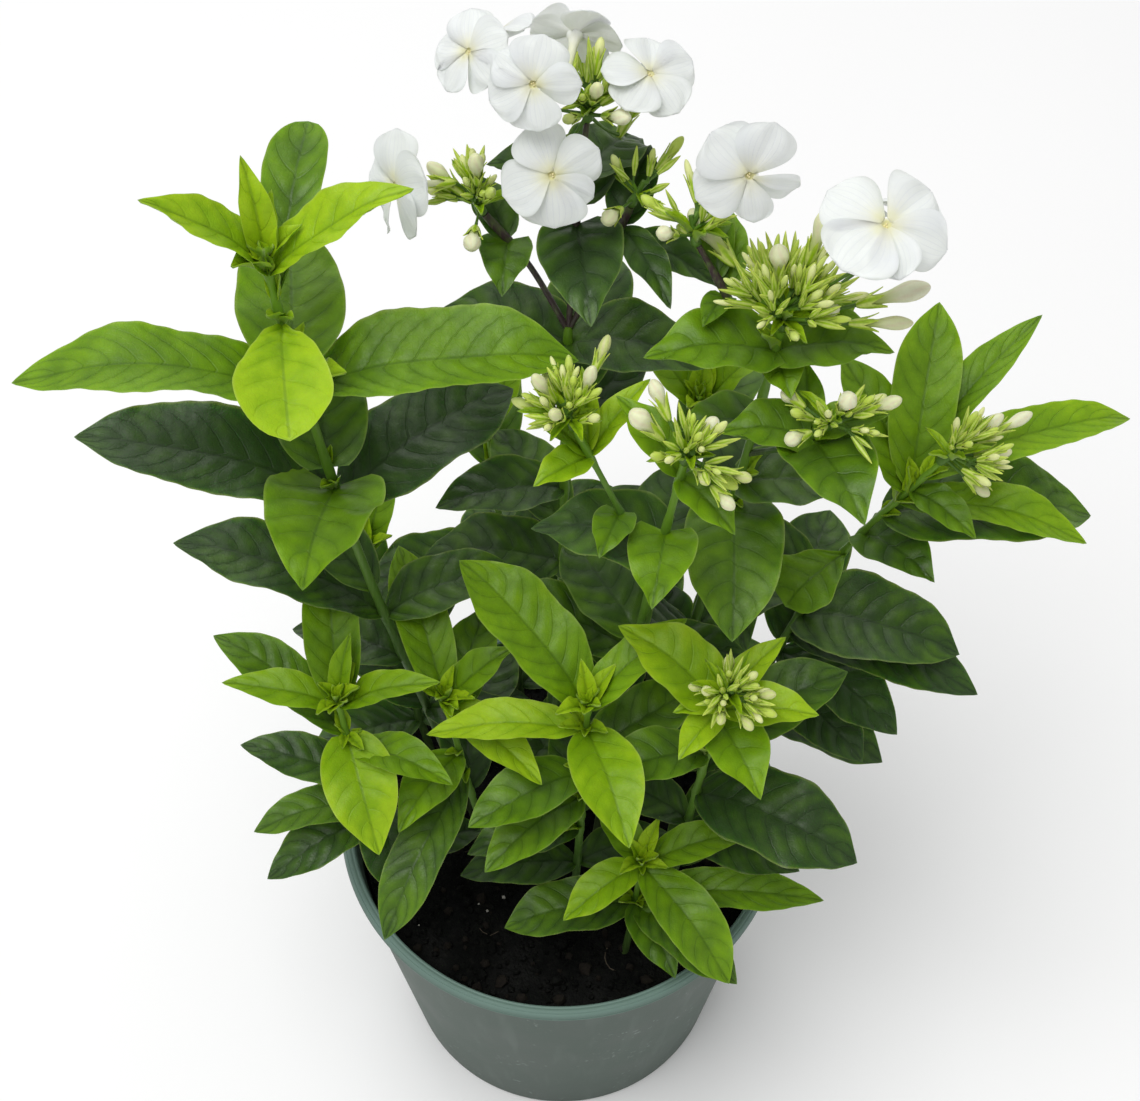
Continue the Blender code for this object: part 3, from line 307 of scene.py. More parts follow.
BLOOMS = {
    # bloom: (head, centre before it is set out along its facing, azimuth, rise, diameter, turn of the petals)
    "bloom_centre": ("head_centre", (-5, 30, 464), -100, 38, 25, 39),
    "bloom_upper_left": ("head_centre", (-20, 41, 463), -150, 48, 25, 30),
    "bloom_top": ("head_centre", (4, 50, 457), 82, 6, 26, 0),
    "bloom_upper_right": ("head_centre", (23, 42, 452), -46, 72, 27, 20),
    "bloom_low": ("head_centre", (-1, 22, 441), -92, 36, 28, 20),
    "bloom_back_left": ("head_centre", (-14, 62, 446), 115, 40, 26, 0),
    "bloom_back_right": ("head_centre", (22, 60, 434), 60, 36, 26, 40),
    "bloom_side": ("head_left", (-38, 30, 429), -150, 22, 31, 10),
    "bloom_right_back": ("head_right_back", (48, 10, 455), -90, 18, 30, 32),
    "bloom_right": ("head_right", (81, -6, 446), -70, 74, 35, 16),
    "bloom_behind_right": ("head_right", (84, 28, 416), 80, 32, 26, 15),
}


def ray(azimuth, rise):
    """Unit vector at an azimuth and a rise in degrees."""
    turn = math.radians(azimuth)
    lift = math.radians(rise)
    return Vector((math.cos(turn) * math.cos(lift), math.sin(turn) * math.cos(lift), math.sin(lift)))


def around(side, other, turn):
    """The direction at an angle in radians from one direction towards another."""
    return side * math.cos(turn) + other * math.sin(turn)


def axis_frame(axis):
    """Two directions square to an axis, as in the solids."""
    side = axis.orthogonal().normalized()
    return side, axis.cross(side)


def leaning(axis, polar, turn):
    """The direction that leans from an axis by an angle, at a turn round it."""
    return around(axis, around(*axis_frame(axis), turn), polar)


def smooth_path(knots, count):
    """Points along a Catmull-Rom curve through the knots, evenly spread by knot number."""
    points = [Vector(k) for k in knots]
    points = [2 * points[0] - points[1]] + points + [2 * points[-1] - points[-2]]
    spans = len(knots) - 1
    path = []
    for step in range(count):
        place = spans * step / (count - 1)
        span = min(int(place), spans - 1)
        t = place - span
        a, b, c, d = points[span:span + 4]
        bend = 2 * a - 5 * b + 4 * c - d
        swing = 3 * b - a - 3 * c + d
        path.append(0.5 * (2 * b + (c - a) * t + bend * t * t + swing * t ** 3))
    return path


def at_height(path, height):
    """Point of a rising path at a height."""
    for low, high in zip(path, path[1:]):
        if height <= high.z:
            share = (height - low.z) / (high.z - low.z)
            return low.lerp(high, max(share, 0.0))
    return path[-1].copy()


def stem_knots(name):
    """A stem's points, with its foot standing upright in the soil."""
    knots = STEMS[name][2]
    x, y = knots[0]
    return ((x, y, STEM_FOOT),) + knots[1:]


def half_width(t, width, length):
    """Half the width of a leaf at a share of its length: lance-shaped, or heart-shaped if it is broad."""
    broad = min(max((width / length - 0.45) / 0.3, 0.0), 1.0)
    rise = 0.62 - 0.3 * broad
    fall = 0.80 + 0.05 * broad
    peak = rise / (rise + fall)
    return 0.5 * width * (t / peak) ** rise * ((1 - t) / (1 - peak)) ** fall


def bloom_pose(bloom):
    """Facing direction of a bloom, its side directions and the foot of its tube."""
    centre, azimuth, rise, _, turn = bloom
    facing = ray(azimuth, rise)
    across = facing.cross(UP).normalized()
    upward = across.cross(facing)
    spin = Matrix.Rotation(math.radians(turn), 3, facing)
    return facing, spin @ across, spin @ upward, Vector(centre) - facing * TUBE_LENGTH


def tries(turns, lifts, sizes, shrink_cost):
    """Changes of azimuth, rise and size to try, the least costly first."""
    options = []
    for size in sizes:
        for turn in turns:
            for lift in lifts:
                cost = abs(turn) + abs(lift) + shrink_cost * (1 - size)
                options.append((cost, abs(turn), turn, lift, size))
    return [option[2:] for option in sorted(options)]


LEAF_TRIES = tries(
    (0, -5, 5, -10, 10, -16, 16, -24, 24, -34, 34),
    (0, 5, -5, 10, -10, 16, -16, 24, -24),
    (1.0, 0.85, 0.7),
    80,
)
BUD_TRIES = tries((0, -12, 12, -25, 25, -40, 40), (0, -12, 12, -25, 25), (1.0,), 0)
# A bloom's last value is its shift along its facing, and the farthest out costs least
BLOOM_TRIES = tries((0, -8, 8, -16, 16, -24, 24), (0, -8, 8, -16, 16), (0.0, 2.0, -2.0, 4.0, -4.0, 6.0), 4)


def pedicel_root(knot, axis, base):
    """Where the pedicel to a base leaves the head's peduncle: the steeper it rises, the higher."""
    aim = base - knot
    share = max(aim.normalized().dot(axis), 0.0)
    return knot + axis * min(PEDUNCLE * share ** 2, max(aim.length - 3.0, 0.0))


def head_knot(name, paths):
    """The peduncle's foot, just clear of its carrier's tip, and the knot where it sets off along its axis."""
    carrier, azimuth, rise = HEADS[name][:3]
    path = paths[carrier]
    ahead = (path[-1] - path[-2]).normalized()
    foot = path[-1] + ahead * FIT_GAP
    return foot, foot + ahead * 2.0, ray(azimuth, rise)


def old_pairs(name, draw):
    """Opposite pairs of old leaves up a stem, each pair a quarter turn from the last."""
    lowest, highest, azimuth, length, width = OLD_PAIRS[name]
    count = int((highest - lowest) / INTERNODE) + 1
    for step in range(count):
        height = lowest + INTERNODE * step
        for half in (0, 180):
            heading = (azimuth + 90 * step + half + draw.uniform(-14, 14) + 180) % 360 - 180
            rise = 4 + 10 * step / count + draw.uniform(-6, 6)
            size = draw.uniform(0.85, 1.1)
            if not FRONT_ARC[0] < heading < FRONT_ARC[1]:
                yield height, heading, rise, length * size, width * size, OLD_YOUTH


def pot_profile():
    """The pot's section from the middle of its foot, out and over the rim, to the middle inside."""
    body = RIM_RADIUS - LIP_REACH
    return (
        (FOOT_RADIUS - 1.2, 0.0),
        (FOOT_RADIUS, 1.2),
        (body, POT_HEIGHT - LIP_DEPTH - BEAD_DEPTH),
        (body + BEAD_REACH, POT_HEIGHT - LIP_DEPTH - BEAD_DEPTH + 0.6),
        (body + BEAD_REACH, POT_HEIGHT - LIP_DEPTH),
        (RIM_RADIUS - 0.4, POT_HEIGHT - LIP_DEPTH + 0.4),
        (RIM_RADIUS, POT_HEIGHT - LIP_DEPTH + 1.4),
        (RIM_RADIUS - 0.4, POT_HEIGHT - 1.2),
        (RIM_RADIUS - 1.8, POT_HEIGHT),
        (body - POT_WALL + 0.8, POT_HEIGHT - 0.3),
        (body - POT_WALL, POT_HEIGHT - 1.4),
        (FOOT_RADIUS - POT_WALL, POT_FLOOR + 1.5),
        (FOOT_RADIUS - POT_WALL - 1.5, POT_FLOOR),
    )


def wall_inside(height):
    """Radius of the pot's inner wall at a height."""
    top = RIM_RADIUS - LIP_REACH - POT_WALL
    foot = FOOT_RADIUS - POT_WALL
    share = (height - POT_FLOOR - 1.5) / (POT_HEIGHT - 1.4 - POT_FLOOR - 1.5)
    return foot + (top - foot) * share


# Fit to the frame: how far a corner may be from its place, and the seeds of the solids' random draws
FIT = 0.15
LEAF_SEED = 5
BUD_SEED = 11

# Materials of the leafy stems, heads, blooms and peat, by slot
LEAF, STEM = range(2)
STALK, SEPAL, BUD, BRACT = range(4)
PETAL, TUBE, ANTHER = range(3)
PEAT, CHIP, SPECK, FIBRE = range(4)

# Fine leaves
ROW_STEP = 1.15
LEAF_COLUMNS = 14
COLUMN_CROWD = 1.35
VEIN_STEP = 7.0
VEIN_SWEEP = (0.05, 0.17)
OLD_QUILT = 1.10
YOUNG_QUILT = 0.62
BLADE = 0.42
RIB = 0.75
GROOVE_DEPTH = 0.55
GROOVE_WIDTH = 0.75
MARGIN_WAVE = 0.045
MARGIN_SCALLOP = 0.22
TIP_TAPER = 0.30
FULLNESS = 0.24
BLUNT_LEAVES = {"stem_tall_left": (5, 6), "stem_far_right": (8,)}
LOBE = 0.12
TIP_CURL = 0.030
TWIST = 9.0
TIPS = ("stem_tall_left", "stem_left_shoot", "stem_left_middle", "stem_centre_shoot", "stem_front_shoot",
        "stem_back_left", "stem_back_right", "stem_side_left")
TIP_PAIRS = ((42, 17), (58, 13), (70, 9))
AXIL_LEAF = 34.0
AXIL_YOUTH = 0.15
AXIL_LENGTH = (7.0, 13.0)
AXIL_SWING = 28
SMALL_YOUTH = 0.95

# Fine stalks
STALK_SIDES = 12
STALK_ROWS = 48
STALK_SLIM = 0.78
NODE_SWELL = 0.45
NODE_REACH = 2.5
BRANCH_RADII = (1.2, 1.05)
PURPLE_BRANCHES = ("centre", "left", "upper_right", "right_back")
PEDICEL_ROWS = 9
PEDUNCLE_ROWS = 12
PEDUNCLE_RADIUS = 1.1

# Fine blooms
PETAL_ROWS = 22
PETAL_BROADEST = 0.66
PETAL_COLUMNS = 16
PETAL_BLADE = 0.30
PETAL_FORMS = {
    # bloom: for each petal (turn from its even place, breadth, length, roll about its own line)
    None: (
        (0, 1.0, 1.0, 0), (-5, 0.95, 0.97, 4), (6, 1.04, 0.95, -4), (-3, 0.94, 1.0, 6), (4, 1.0, 0.93, 0),
    ),
    "bloom_centre": (
        (8, 1.0, 0.98, 0), (-4, 0.95, 0.96, 6), (-10, 1.1, 1.0, 0), (0, 0.85, 1.0, 10), (6, 1.05, 0.95, 0),
    ),
    "bloom_low": (
        (-7, 1.0, 1.0, 0), (12, 1.02, 1.0, 12), (26, 0.88, 1.0, 0), (10, 0.7, 0.88, 8), (-2, 1.2, 1.0, -4),
    ),
    "bloom_right": (
        (-12, 1.12, 1.0, 0), (4, 1.12, 1.0, -4), (30, 0.98, 0.98, 2), (16, 0.8, 0.95, 18), (6, 0.7, 0.88, 0),
    ),
    "bloom_right_back": (
        (6, 1.0, 1.0, 0), (8, 1.1, 1.0, 0), (0, 1.1, 0.98, 4), (12, 0.78, 0.92, 24), (8, 0.7, 0.95, 6),
    ),
}
TUBE_SIDES = 20
TUBE_PROFILE = (
    # (share of the tube's length, radius, how far inside its mouth)
    (0, 0.80, 0), (0.35, 0.92, 0), (0.7, 1.15, 0), (0.86, 1.5, 0), (0.95, 2.0, 0), (1.0, 2.3, 0),
    (1.0, 1.15, 0.6), (0.985, 0.95, 0.8), (0.972, 0.8, 1), (0.966, 0.35, 1),
)
ANTHERS = 3
ANTHER_LENGTH = 1.7
ANTHER_RADIUS = 0.30
ANTHER_RING = 0.42

# Fine pot and peat
POT_SEGMENTS = 160
LINE_STEP = 0.2
DRAIN_SEGMENTS = 32
DRILL_PAST = 2.0
LIP_FOOT = POT_HEIGHT - LIP_DEPTH
LIP_LINES = (
    # (radius, half its width, depth)
    (79.7, 0.45, 0.35),
    (81.5, 0.22, 0.25),
)
SOIL_SEGMENTS = 150
SOIL_ROWS = 46
SOIL_SEED = 7
CRUMBS = 1500
CRUMB_GRID = (4, 6)
CHIP_EVERY = 6
SPECK_EVERY = 53
LARGE_EVERY = 9
CRUMB_SIZE = (0.9, 3.4)
LARGE_CRUMB_SIZE = (3.0, 6.0)
SPECK_SIZE = (0.7, 1.8)
FIBRES = 14
FIBRE_ROWS = 6
FIBRE_SIDES = 5
FIBRE_LENGTH = (4, 12)
FIBRE_RADIUS = (0.14, 0.26)

# Fine heads
CALYX_ROWS = 7
SHUT_ROWS = 9
SHUT_POINTS = 4
BUD_FORMS = {
    # is it large: (calyx's share of its length, calyx's flare and points a tooth, sides, rows, furrow)
    True: (0.62, 1.15, 6, 20, 20, 0.13),
    False: (0.74, 0.55, 4, 15, 12, 0.07),
}
CROWDS = {
    # head: (shut green buds that crowd it, how far out their clusters reach, small bracts, their length)
    "head_centre": (30, 9.0, 6, 1.0),
    "head_left": (26, 7.0, 5, 0.95),
    "head_upper_right": (6, 5.0, 3, 0.9),
    "head_right": (96, 14.0, 12, 1.25),
    "head_right_back": (11, 7.0, 6, 1.15),
    "head_right_low": (14, 6.0, 4, 0.9),
    "head_inner": (22, 7.0, 6, 0.95),
    "head_inner_left": (28, 8.0, 8, 0.95),
    "head_far_right": (28, 9.0, 5, 1.0),
    "head_budding": (28, 6.0, 8, 0.9),
}
CROWD_LENGTH = (6.5, 10.5)
CROWD_STALK = (0.62, 0.55, 0.5, 0.5, 0.5, 0.45)
CROWD_RADIUS = (0.75, 1.1)
CROWD_CLUSTER = 6
CROWD_OPEN = 0.3
CROWD_DOME = 74.0
CROWD_FAN = 36.0
CROWD_ROOM = 1.3
BRACT_LENGTH = (8.0, 15.0)
BRACT_RISE = (8, 56)
BRACT_YOUTH = 0.9


def corners_of(frame):
    """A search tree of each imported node's corners, in millimetres."""
    trees = {}
    for name, node in frame["nodes"].items():
        tree = KDTree(len(node.data.vertices))
        for vert in node.data.vertices:
            tree.insert(vert.co / MM, vert.index)
        tree.balance()
        trees[name] = tree
    return trees


def built(tree, *points):
    """True if a node has a corner at every one of these points."""
    return all(tree.find(point)[2] < FIT for point in points)


def fit_leaf(tree, base, leaf):
    """The leaf as its solid was bent clear, or None if it was left out."""
    azimuth, rise, length, width, youth = leaf
    for turn, lift, size in LEAF_TRIES:
        trial = (azimuth + turn, rise + lift, length * size, width * size, youth)
        if built(tree, base + ray(*trial[:2]) * trial[2]):
            return trial
    return None


def fit_leaves(trees, paths):
    """The leaves of each stem with their bases."""
    draw = random.Random(LEAF_SEED)
    leaves = {name: [] for name in STEMS}
    rows = []
    for name, table in list(LEAVES.items()) + list(BRANCH_LEAVES.items()):
        node = name if name in STEMS else BRANCHES[name][0]
        rows += [(name, node, row) for row in table]
    for name in OLD_PAIRS:
        rows += [(name, name, row) for row in old_pairs(name, draw)]
    for path, node, (height, *leaf) in rows:
        base = at_height(paths[path], height)
        fitted = fit_leaf(trees[node], base, leaf)
        if fitted:
            leaves[node].append((base, fitted))
    return leaves


def fit_blooms(trees):
    """The blooms as their solids were tilted and set out along their facing."""
    blooms = {}
    for name, (_, centre, azimuth, rise, diameter, turn) in BLOOMS.items():
        for swing, lift, shift in BLOOM_TRIES:
            spot = Vector(centre) + ray(azimuth, rise) * shift
            trial = (spot, azimuth + swing, rise + lift, diameter, turn)
            facing, across, upward, _ = bloom_pose(trial)
            drop = facing * (0.5 * PETAL_DROP * diameter)
            outs = [around(across, upward, math.tau * number / PETALS) for number in range(2)]
            if built(trees[name], *(spot + out * (0.5 * diameter) - drop for out in outs)):
                blooms[name] = trial
                break
    return blooms


def fit_buds(trees, knots):
    """The buds of each head, each with the root of its pedicel."""
    draw = random.Random(BUD_SEED)
    buds = {}
    for name, (_, _, _, small, large) in HEADS.items():
        knot, axis = knots[name]
        wanted = [(ray(*bud[:2]), *bud[2:], True) for bud in large]
        for number in range(small):
            polar = math.radians(DOME[0] + (DOME[1] - DOME[0]) * (number + 0.5) / small)
            turn = math.radians(GOLDEN_ANGLE * number + draw.uniform(-12, 12))
            length = draw.uniform(*SMALL_BUD_LENGTH)
            reach = 0.5 * length + draw.uniform(*SMALL_BUD_REACH) + 0.8 * PEDUNCLE * math.cos(polar) ** 2
            wanted.append((leaning(axis, polar, turn), reach, length, draw.uniform(*SMALL_BUD_RADIUS), False))
        buds[name] = []
        for aim, reach, length, radius, big in wanted:
            side, other = axis_frame(aim)
            for turn, lift, _ in BUD_TRIES:
                swing = side * math.tan(math.radians(turn)) + other * math.tan(math.radians(lift))
                way = (aim + swing).normalized()
                base = knot + way * max(reach - 0.5 * length, KNOT_RADIUS + 1.0)
                if built(trees[name], base + way * length):
                    root = pedicel_root(knot, axis, base)
                    buds[name].append((root, (base, way, length, radius, big)))
                    break
    return buds


def placed(name, data):
    """A new object in the scene."""
    thing = bpy.data.objects.new(name, data)
    bpy.context.scene.collection.objects.link(thing)
    return thing


class Build:
    """Points in millimetres, faces, and two triples of values a point, for one piece."""

    def __init__(self):
        self.points = []
        self.values = []
        self.faces = []
        self.slots = []
        self.count = 0

    def rings(self, grid, values, slot, ends=(None, None)):
        """A closed tube through rows of points, each end closed to its middle or to a point given."""
        rows, spokes, _ = grid.shape
        values = np.broadcast_to(values, (rows, spokes, 6))
        self.points.append(grid.reshape(-1, 3))
        self.values.append(values.reshape(-1, 6))
        index = self.count + np.arange(rows * spokes).reshape(rows, spokes)
        after = np.roll(index, -1, axis=1)
        quads = np.stack([index[:-1], after[:-1], after[1:], index[1:]], axis=-1)
        # A thin blade's lower half splits along the same diagonals as its upper half, so the two never cross
        quads[:, spokes // 2:] = np.roll(quads[:, spokes // 2:], -1, axis=-1)
        self.faces += quads.reshape(-1, 4).tolist()
        self.count += rows * spokes
        for row, end in ((0, ends[0]), (rows - 1, ends[1])):
            tip = grid[row].mean(axis=0) if end is None else np.array(end, dtype=float)
            self.points.append(tip.reshape(1, 3))
            self.values.append(values[row].mean(axis=0).reshape(1, 6))
            start, stop = (index, after) if row else (after, index)
            self.faces += [[a, b, self.count] for a, b in zip(start[row].tolist(), stop[row].tolist())]
            self.count += 1
        self.slots += [slot] * (len(self.faces) - len(self.slots))

    def object(self, name, materials, sharp=70.0):
        """The piece as an object, riding on the one body."""
        values = np.concatenate(self.values).astype(np.float32)
        mesh = bpy.data.meshes.new(name)
        mesh.from_pydata(np.concatenate(self.points) * MM, [], self.faces)
        mesh.polygons.foreach_set("material_index", self.slots)
        for number, label in enumerate(("place", "tone")):
            layer = mesh.attributes.new(label, "FLOAT_VECTOR", "POINT")
            layer.data.foreach_set("vector", values[:, 3 * number:3 * number + 3].ravel())
        work = bmesh.new()
        work.from_mesh(mesh)
        bmesh.ops.recalc_face_normals(work, faces=work.faces)
        work.to_mesh(mesh)
        work.free()
        mesh.shade_smooth()
        mesh.set_sharp_from_angle(angle=math.radians(sharp))
        for material in materials:
            mesh.materials.append(material)
        thing = placed(name, mesh)
        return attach(thing, "root")


def stacked(*values):
    """Arrays and numbers spread to one shape and stacked, as the values of each point."""
    return np.stack(np.broadcast_arrays(*values), axis=-1)


def both_sides(upper, lower):
    """Rows that run over a blade's upper side and back along its lower side."""
    return np.concatenate([upper, lower[:, -2:0:-1]], axis=1)


def flat_grid(base, along, side, ahead, across):
    """Points at distances ahead of and across from a base."""
    return base + along * ahead[..., None] + side * across[..., None]


def smooth(value, start, end):
    """A smooth step from 0 at start to 1 at end, for arrays."""
    share = np.clip((value - start) / (end - start), 0, 1)
    return share * share * (3 - 2 * share)


def fine_half_width(t, width, length, youth, blunt):
    """Half the width of a leaf along it: long leaves are full up to a short point, young short ones taper."""
    if blunt:
        return 0.5 * width * np.sin(math.pi * t ** 2.0) ** 0.5
    half = np.array([[half_width(float(share), width, length)] for share in t.ravel()])
    full = float(smooth(np.array(length), 34, 52)) * (1.0 if youth < 0.8 else 0.35)
    fuller = half * (1 + FULLNESS * smooth(t, 0.45, 0.80) * smooth(1 - t, 0.0, 0.12))
    finer = half * (1 - TIP_TAPER * smooth(t, 0.62, 1.0))
    return finer + (fuller - finer) * full


def leaf_mesh(build, base, leaf, seed, slot=LEAF, blunt=False):
    """One leaf: quilted between its veins, waved at its margin, with its midrib standing out below."""
    azimuth, rise, length, width, youth = leaf
    draw = random.Random(seed)
    along = ray(azimuth, rise)
    side = along.cross(UP).normalized()
    base, along, side, normal = map(np.array, (base, along, side, side.cross(along)))
    rows = max(7, int(length / ROW_STEP))
    t = np.linspace(0, 1, rows + 1)[1:-1, None]
    u = np.linspace(-1, 1, LEAF_COLUMNS + 1)[None, :]
    u = np.sign(u) * np.abs(u) ** COLUMN_CROWD
    au = np.abs(u)
    half = fine_half_width(t, width, length, youth, blunt)
    arch = OLD_ARCH + (YOUNG_ARCH - OLD_ARCH) * youth
    fold = OLD_FOLD + (YOUNG_FOLD - OLD_FOLD) * youth

    # The blade swells between its veins, and lies flat at its edges
    veins = max(3, round(length / VEIN_STEP))
    stagger = draw.uniform(0.1, 0.4) * np.sign(u)
    phase = veins * (t - VEIN_SWEEP[0] * au - VEIN_SWEEP[1] * au ** 2) + stagger
    cell = 2 * np.abs(phase % 1.0 - 0.5)
    bulge = 1 - (1 - cell) ** 2.2
    depth = (OLD_QUILT + (YOUNG_QUILT - OLD_QUILT) * youth) * min(1.0, width / 20.0) * draw.uniform(0.8, 1.15)
    calm = smooth(au, 0.02, 0.16) * smooth(1 - au, 0.0, 0.30)
    calm = calm * smooth(t, 0.02, 0.12) * smooth(1 - t, 0.02, 0.16)

    # Its margin waves, and the whole arches, folds, rolls and sways
    hold = smooth(t, 0.0, 0.2) * smooth(1 - t, 0.0, 0.2)
    turn = draw.uniform(0, math.tau)
    waves = draw.uniform(1.5, 2.8)
    lean = draw.uniform(-0.9, 0.9)
    wave = MARGIN_WAVE * width * au ** 2 * np.sin(math.tau * waves * t + turn + 1.4 * np.sign(u))
    wave = wave + MARGIN_SCALLOP * au ** 4 * np.cos(math.tau * phase)
    roll = math.radians(draw.uniform(-TWIST, TWIST)) * np.sin(math.pi * t)
    sickle = draw.uniform(-0.05, 0.05) * length * t * (1 - t)
    sway = 0.012 * length * np.sin(math.tau * 1.3 * t + turn) * hold
    curl = TIP_CURL * length * draw.uniform(0.0, 1.0) * smooth(t, 0.72, 1.0)
    cup = 0.10 * half * lean * (au ** 2 - 0.4)
    lift = arch * length * 4 * t * (1 - t) + fold * half * (np.sqrt(u * u + 0.002) - 0.045) + cup
    lift = lift + wave * hold + sway - curl + half * u * np.sin(roll)
    groove = GROOVE_DEPTH * np.exp(-(half * au / GROOVE_WIDTH) ** 2) * smooth(1 - t, 0.0, 0.3)
    top = lift - depth * (1 - bulge) * calm - groove

    # A broad leaf's base is heart-shaped, and the midrib stands out below
    heart = float(smooth(np.array(width / length), 0.50, 0.75)) * (0.0 if blunt else 1.0)
    lobe = LOBE * length * heart * au ** 1.5 * (1 - t) ** 5
    flat = flat_grid(base, along, side, length * t - lobe, half * u * np.cos(roll) + sickle)
    thick = BLADE * (1 - 0.55 * au ** 3) * np.ones_like(t)
    rib = RIB * (1 - 0.6 * t) * np.exp(-((half * au) / 0.7) ** 2)
    upper = flat + normal * top[..., None]
    lower = flat + normal * (top - thick - rib)[..., None]
    fresh = np.clip(youth + draw.uniform(-0.06, 0.06) + 0.16 * (t - 0.5) * youth, 0, 1)
    tint = draw.random()
    values = both_sides(*(stacked(phase, au, half * au, fresh, tint, under) for under in (0, 1)))
    tip = base + along * length - normal * float(curl[-1, 0])
    build.rings(both_sides(upper, lower), values, slot, (base, tip))


def stalk_mesh(build, path, radii, slot, values, sides=STALK_SIDES):
    """A round stalk along a path, with a radius and six values a row."""
    rows = []
    side = None
    for number, (point, radius) in enumerate(zip(path, radii)):
        ahead = (path[min(number + 1, len(path) - 1)] - path[max(number - 1, 0)]).normalized()
        side = ahead.orthogonal() if side is None else side - ahead * side.dot(ahead)
        side.normalize()
        other = ahead.cross(side)
        turns = [math.tau * spoke / sides for spoke in range(sides)]
        rows.append([point + around(side, other, turn) * radius for turn in turns])
    build.rings(np.array(rows), np.array(values, dtype=float).reshape(len(path), 1, 6), slot)


def turned_mesh(build, base, axis, heights, radii, slot, values=0.0, spokes=None, tip=None):
    """A closed form round an axis: heights and radii are arrays of rows by spokes, or columns of rows."""
    side, other = map(np.array, axis_frame(axis))
    spokes = spokes or radii.shape[1]
    turn = np.arange(spokes) * math.tau / spokes
    spread = np.outer(np.cos(turn), side) + np.outer(np.sin(turn), other)
    grid = np.array(base) + heights[..., None] * np.array(axis) + radii[..., None] * spread
    build.rings(grid, values, slot, (None, None if tip is None else base + axis * tip))


def pedicel_mesh(build, root, base, axis, radius, sides=8):
    """A slender pedicel that leaves the peduncle and swings into the axis of its calyx."""
    path = smooth_path((root, root.lerp(base, 0.55) - axis * 0.3, base + axis * 0.8), PEDICEL_ROWS)
    shares = [row / (PEDICEL_ROWS - 1) for row in range(PEDICEL_ROWS)]
    radii = [radius * (1.25 - 0.5 * math.sin(math.pi * min(share, 0.9))) for share in shares]
    stalk_mesh(build, path, radii, STALK, [(share, 0, 0, 0.5, 0, 0) for share in shares], sides)


def calyx_mesh(build, base, axis, length, neck, flare, seed, parts=6):
    """A ribbed green cup with narrow pointed teeth that stand a little out from the bud."""
    draw = random.Random(seed)
    share = (np.arange(SEPALS * parts) / parts) % 1.0
    point = 1 - np.abs(2 * ((share + 0.5) % 1.0) - 1)
    crown = 0.50 * length
    top = crown + (length - crown) * point ** 1.3
    heights = np.linspace(0, 1, CALYX_ROWS)[:, None] * top
    rise = heights / length
    body = 0.70 + (neck + 0.30 - 0.70) * np.clip(rise / 0.45, 0, 1) ** 0.7
    out = flare * np.clip((rise - 0.4) / 0.6, 0, 1) ** 1.6 * draw.uniform(0.8, 1.2)
    outer = body + out + 0.14 * point ** 3 * np.clip(rise * 4, 0, 1)
    inner = np.maximum(outer - 0.28, 0.25)
    heights = np.concatenate([heights, heights[:0:-1] - 0.02])
    radii = np.concatenate([outer, inner[:0:-1]])
    values = stacked(heights / length, point, 0, 0, draw.random(), 0)
    turned_mesh(build, base, axis, heights, radii, SEPAL, values)


def bud_mesh(build, root, bud, seed):
    """A bud: pedicel, calyx and the furled corolla, twisted to its point."""
    base, axis, length, radius, big = bud
    draw = random.Random(seed)
    pedicel_mesh(build, root, base, axis, 0.5)
    share, flare, parts, spokes, rows, furrow_depth = BUD_FORMS[big]
    calyx = min(CALYX_LENGTH, share * length)
    neck = 0.5 * radius
    calyx_mesh(build, base, axis, calyx, neck + 0.2, flare, f"{seed} calyx", parts)
    belly = 0.74 * length
    start = 0.3 * calyx
    share = np.linspace(0, 0.985, rows)[:, None]
    heights = start + (length - start) * np.sin(0.5 * math.pi * share) ** 0.9
    profile = neck + (radius - neck) * smooth(heights, 0.35 * length, belly)
    close = np.clip((heights - belly) / (length - belly), 0, 1)
    profile = profile * np.sqrt(np.maximum(1 - close ** 1.9, 0.004)) * (1 - 0.12 * close)
    turn = np.arange(spokes) * math.tau / spokes
    furrow = np.abs(np.cos(0.5 * PETALS * (turn + 1.9 * heights / length)))
    depth = furrow_depth * np.clip((heights - 0.4 * length) / (0.3 * length), 0, 1)
    radii = profile * (1 - depth * (1 - furrow) ** 2)
    values = stacked(heights / length, furrow, radius, draw.random(), float(big), 0)
    turned_mesh(build, base, axis, heights, radii, BUD, values, tip=length)


def shut_mesh(build, root, bud, seed):
    """A small bud still shut in its calyx: a slender green spindle with five ribs."""
    base, axis, length, radius, _ = bud
    draw = random.Random(seed)
    pedicel_mesh(build, root, base, axis, 0.36, 6)
    share = np.linspace(0.0, 0.96, SHUT_ROWS)[:, None]
    point = np.abs(2 * (np.arange(SEPALS * SHUT_POINTS) / SHUT_POINTS % 1.0) - 1)
    swell = 0.5 + 0.5 * smooth(share, 0.0, 0.42)
    shut = np.clip((1 - share) / 0.55, 0, 1) ** 0.65
    radii = radius * swell * shut * (1 - (0.12 + 0.20 * share) * (1 - point) ** 2)
    values = stacked(share, point, 0, 0, draw.random(), 0)
    turned_mesh(build, base, axis, length * share, radii, SEPAL, values, tip=length)


def petal_width(reach, radius):
    """Half the width of a petal at a share of the bloom's radius: a narrow claw and a broad round blade."""
    claw = np.sin(0.5 * math.pi * np.clip(reach / PETAL_BROADEST, 0, 1) ** 1.1)
    lobe = np.sqrt(np.clip(1 - np.clip((reach - PETAL_BROADEST) / (1 - PETAL_BROADEST), 0, 1) ** 2.2, 0, 1))
    return PETAL_BREADTH * radius * claw * lobe


